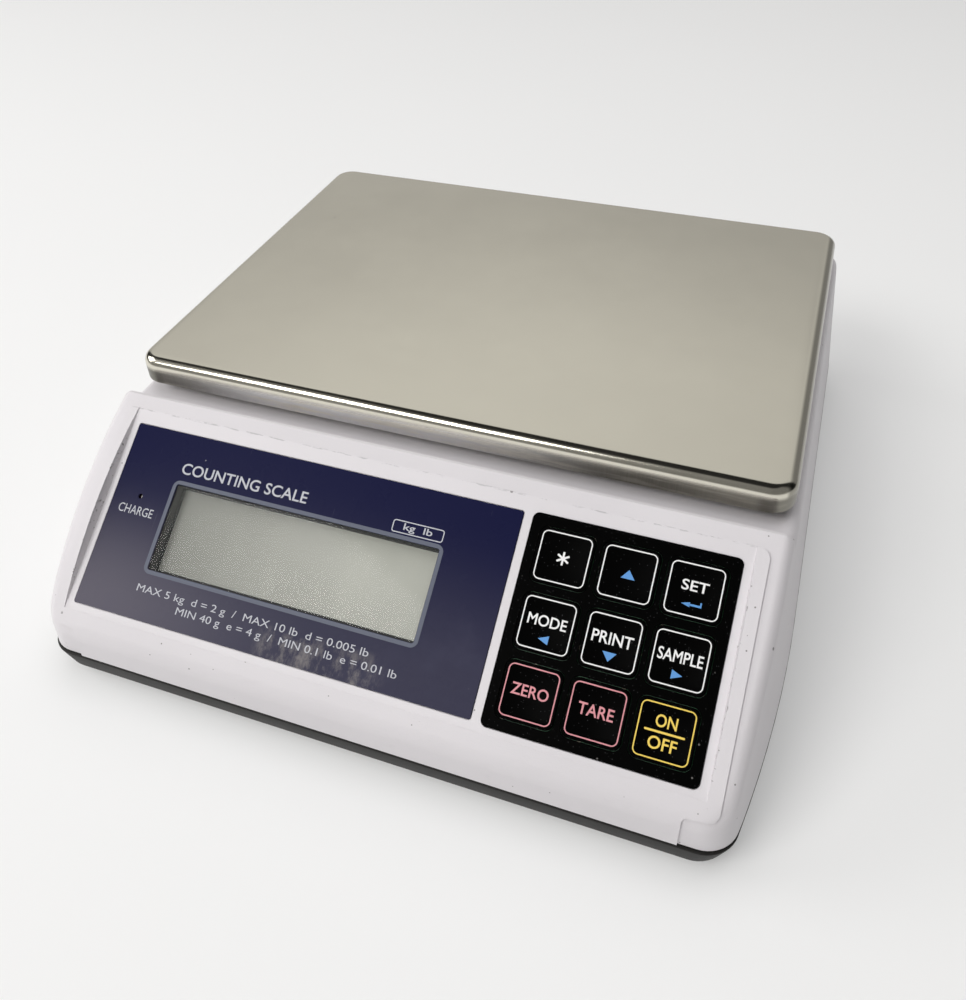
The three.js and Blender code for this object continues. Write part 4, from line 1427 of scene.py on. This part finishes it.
class SCALE_OT_stage(bpy.types.Operator):
    """Sets out the pale floor, the soft lights and the camera"""

    bl_idname = "scale.stage"
    bl_label = "Floor, lights and camera"

    def soft_light(self, name, place, target, size, power, colour=(1, 1, 1), shines=True):
        to_object_mode()
        bpy.ops.object.light_add(type="AREA", location=place)
        lamp = bpy.context.object
        lamp.name = name
        lamp.data.shape = "RECTANGLE"
        lamp.data.size, lamp.data.size_y = size
        lamp.data.energy = power
        lamp.data.color = colour
        lamp.visible_glossy = shines
        lamp.rotation_euler = (Vector(target) - Vector(place)).to_track_quat("-Z", "Y").to_euler()

    def studio(self, scene):
        """A soft room with a brighter rear, which the steel and the films reflect."""
        scene.world = bpy.data.worlds.new("studio")
        scene.world.use_nodes = True
        tree = scene.world.node_tree
        sky = Graph(tree)
        x, y, z = sky.axes(sky.node("ShaderNodeTexCoord", {}, {}, output=0))
        rear = 0.02 + y.step(0.42, 0.52) * (0.47 + z.step(0.38, 0.66) * 0.24)
        front = 0.22 + (1 - z.step(0.03, 0.15)) * 0.30 - z.step(0.86, 0.94) * 0.20
        level = front + (rear - front) * y.step(-0.15, 0.15)
        level = level * (1.05 - x.step(-0.4, 0.25) * 0.21)
        tint = sky.mix(level, (0, 0, 0), (1, 0.985, 0.955))
        tree.links.new(tint.socket, tree.nodes["Background"].inputs["Color"])
        scene.view_settings.view_transform = "Standard"

    def camera(self, scene):
        right = Vector((0.94041, 0.33871, -0.03012))
        up = Vector((-0.19031, 0.59764, 0.77885))
        back = Vector((0.28181, -0.72671, 0.62648))
        bpy.ops.object.camera_add(location=(0, 0, 0))
        scene.camera = bpy.context.object
        scene.camera.name = "camera"
        turn = Matrix((right, up, back)).transposed().to_4x4()
        scene.camera.matrix_world = Matrix.Translation((0.13597, -0.35762, 0.36333)) @ turn
        settings = {"sensor_width": 36, "lens": 34.148, "shift_x": -0.0009, "shift_y": -0.0851,
                    "clip_start": 0.01}
        for label, value in settings.items():
            setattr(scene.camera.data, label, value)

    def execute(self, context):
        floor = started("floor", bpy.ops.mesh.primitive_plane_add, size=30, location=(0, 0, -0.0002))
        editing(floor, chosen="SELECT")
        bpy.ops.mesh.subdivide(number_cuts=3)
        to_object_mode()
        paper = two_tone("floor_paper", (0.62, 0.62, 0.62), (0.64, 0.64, 0.64), 400, 0.9, 0.05,
                         Specular_IOR_Level=0.0, Emission_Color=(1, 1, 1, 1), Emission_Strength=0.27)
        floor.data.materials.append(paper)
        settle(floor)
        self.soft_light("front_softbox", (-1.25, -1.9, 2.2), (0, 0, 0.05), (1.5, 1.0), 43, (1, 0.99, 0.97))
        self.soft_light("left_window", (-2.1, -0.3, 1.3), (0, 0, 0.05), (1.2, 1.2), 16, (1, 0.99, 0.98))
        self.soft_light("overhead_fill", (0, 0, 2.4), (0, 0, 0), (2.2, 2.2), 23, shines=False)
        self.studio(context.scene)
        self.camera(context.scene)
        return {"FINISHED"}


OPERATORS = (
    SCALE_OT_upper_housing,
    SCALE_OT_base,
    SCALE_OT_tray,
    SCALE_OT_label,
    SCALE_OT_display,
    SCALE_OT_keypad,
    SCALE_OT_feet,
    SCALE_OT_fasteners,
    SCALE_OT_sockets,
    SCALE_OT_supports,
    SCALE_OT_mechanism,
    SCALE_OT_stage,
)


# --------------------------------------------------------------------- add-on


class SCALE_PT_panel(bpy.types.Panel):
    """Lists the scale's settings and its pieces"""

    bl_idname = "SCALE_PT_panel"
    bl_label = "Counting Scale"
    bl_space_type = "VIEW_3D"
    bl_region_type = "UI"
    bl_category = "Counting Scale"

    def draw(self, context):
        for group in (context.scene.scale_sizes, context.scene.scale_colours):
            box = self.layout.box()
            for name in group.bl_rna.properties.keys():
                if name not in ("rna_type", "name"):
                    box.prop(group, name)
        for operator in OPERATORS:
            self.layout.operator(operator.bl_idname)


CLASSES = (ScaleSizes, ScaleColours, *OPERATORS, SCALE_PT_panel)


def register():
    for cls in CLASSES:
        bpy.utils.register_class(cls)
    bpy.types.Scene.scale_sizes = PointerProperty(type=ScaleSizes)
    bpy.types.Scene.scale_colours = PointerProperty(type=ScaleColours)


def unregister():
    del bpy.types.Scene.scale_colours
    del bpy.types.Scene.scale_sizes
    for cls in reversed(CLASSES):
        bpy.utils.unregister_class(cls)


def main():
    register()
    for operator in OPERATORS:
        group, name = operator.bl_idname.split(".")
        getattr(getattr(bpy.ops, group), name)()


if __name__ == "__main__":
    main()
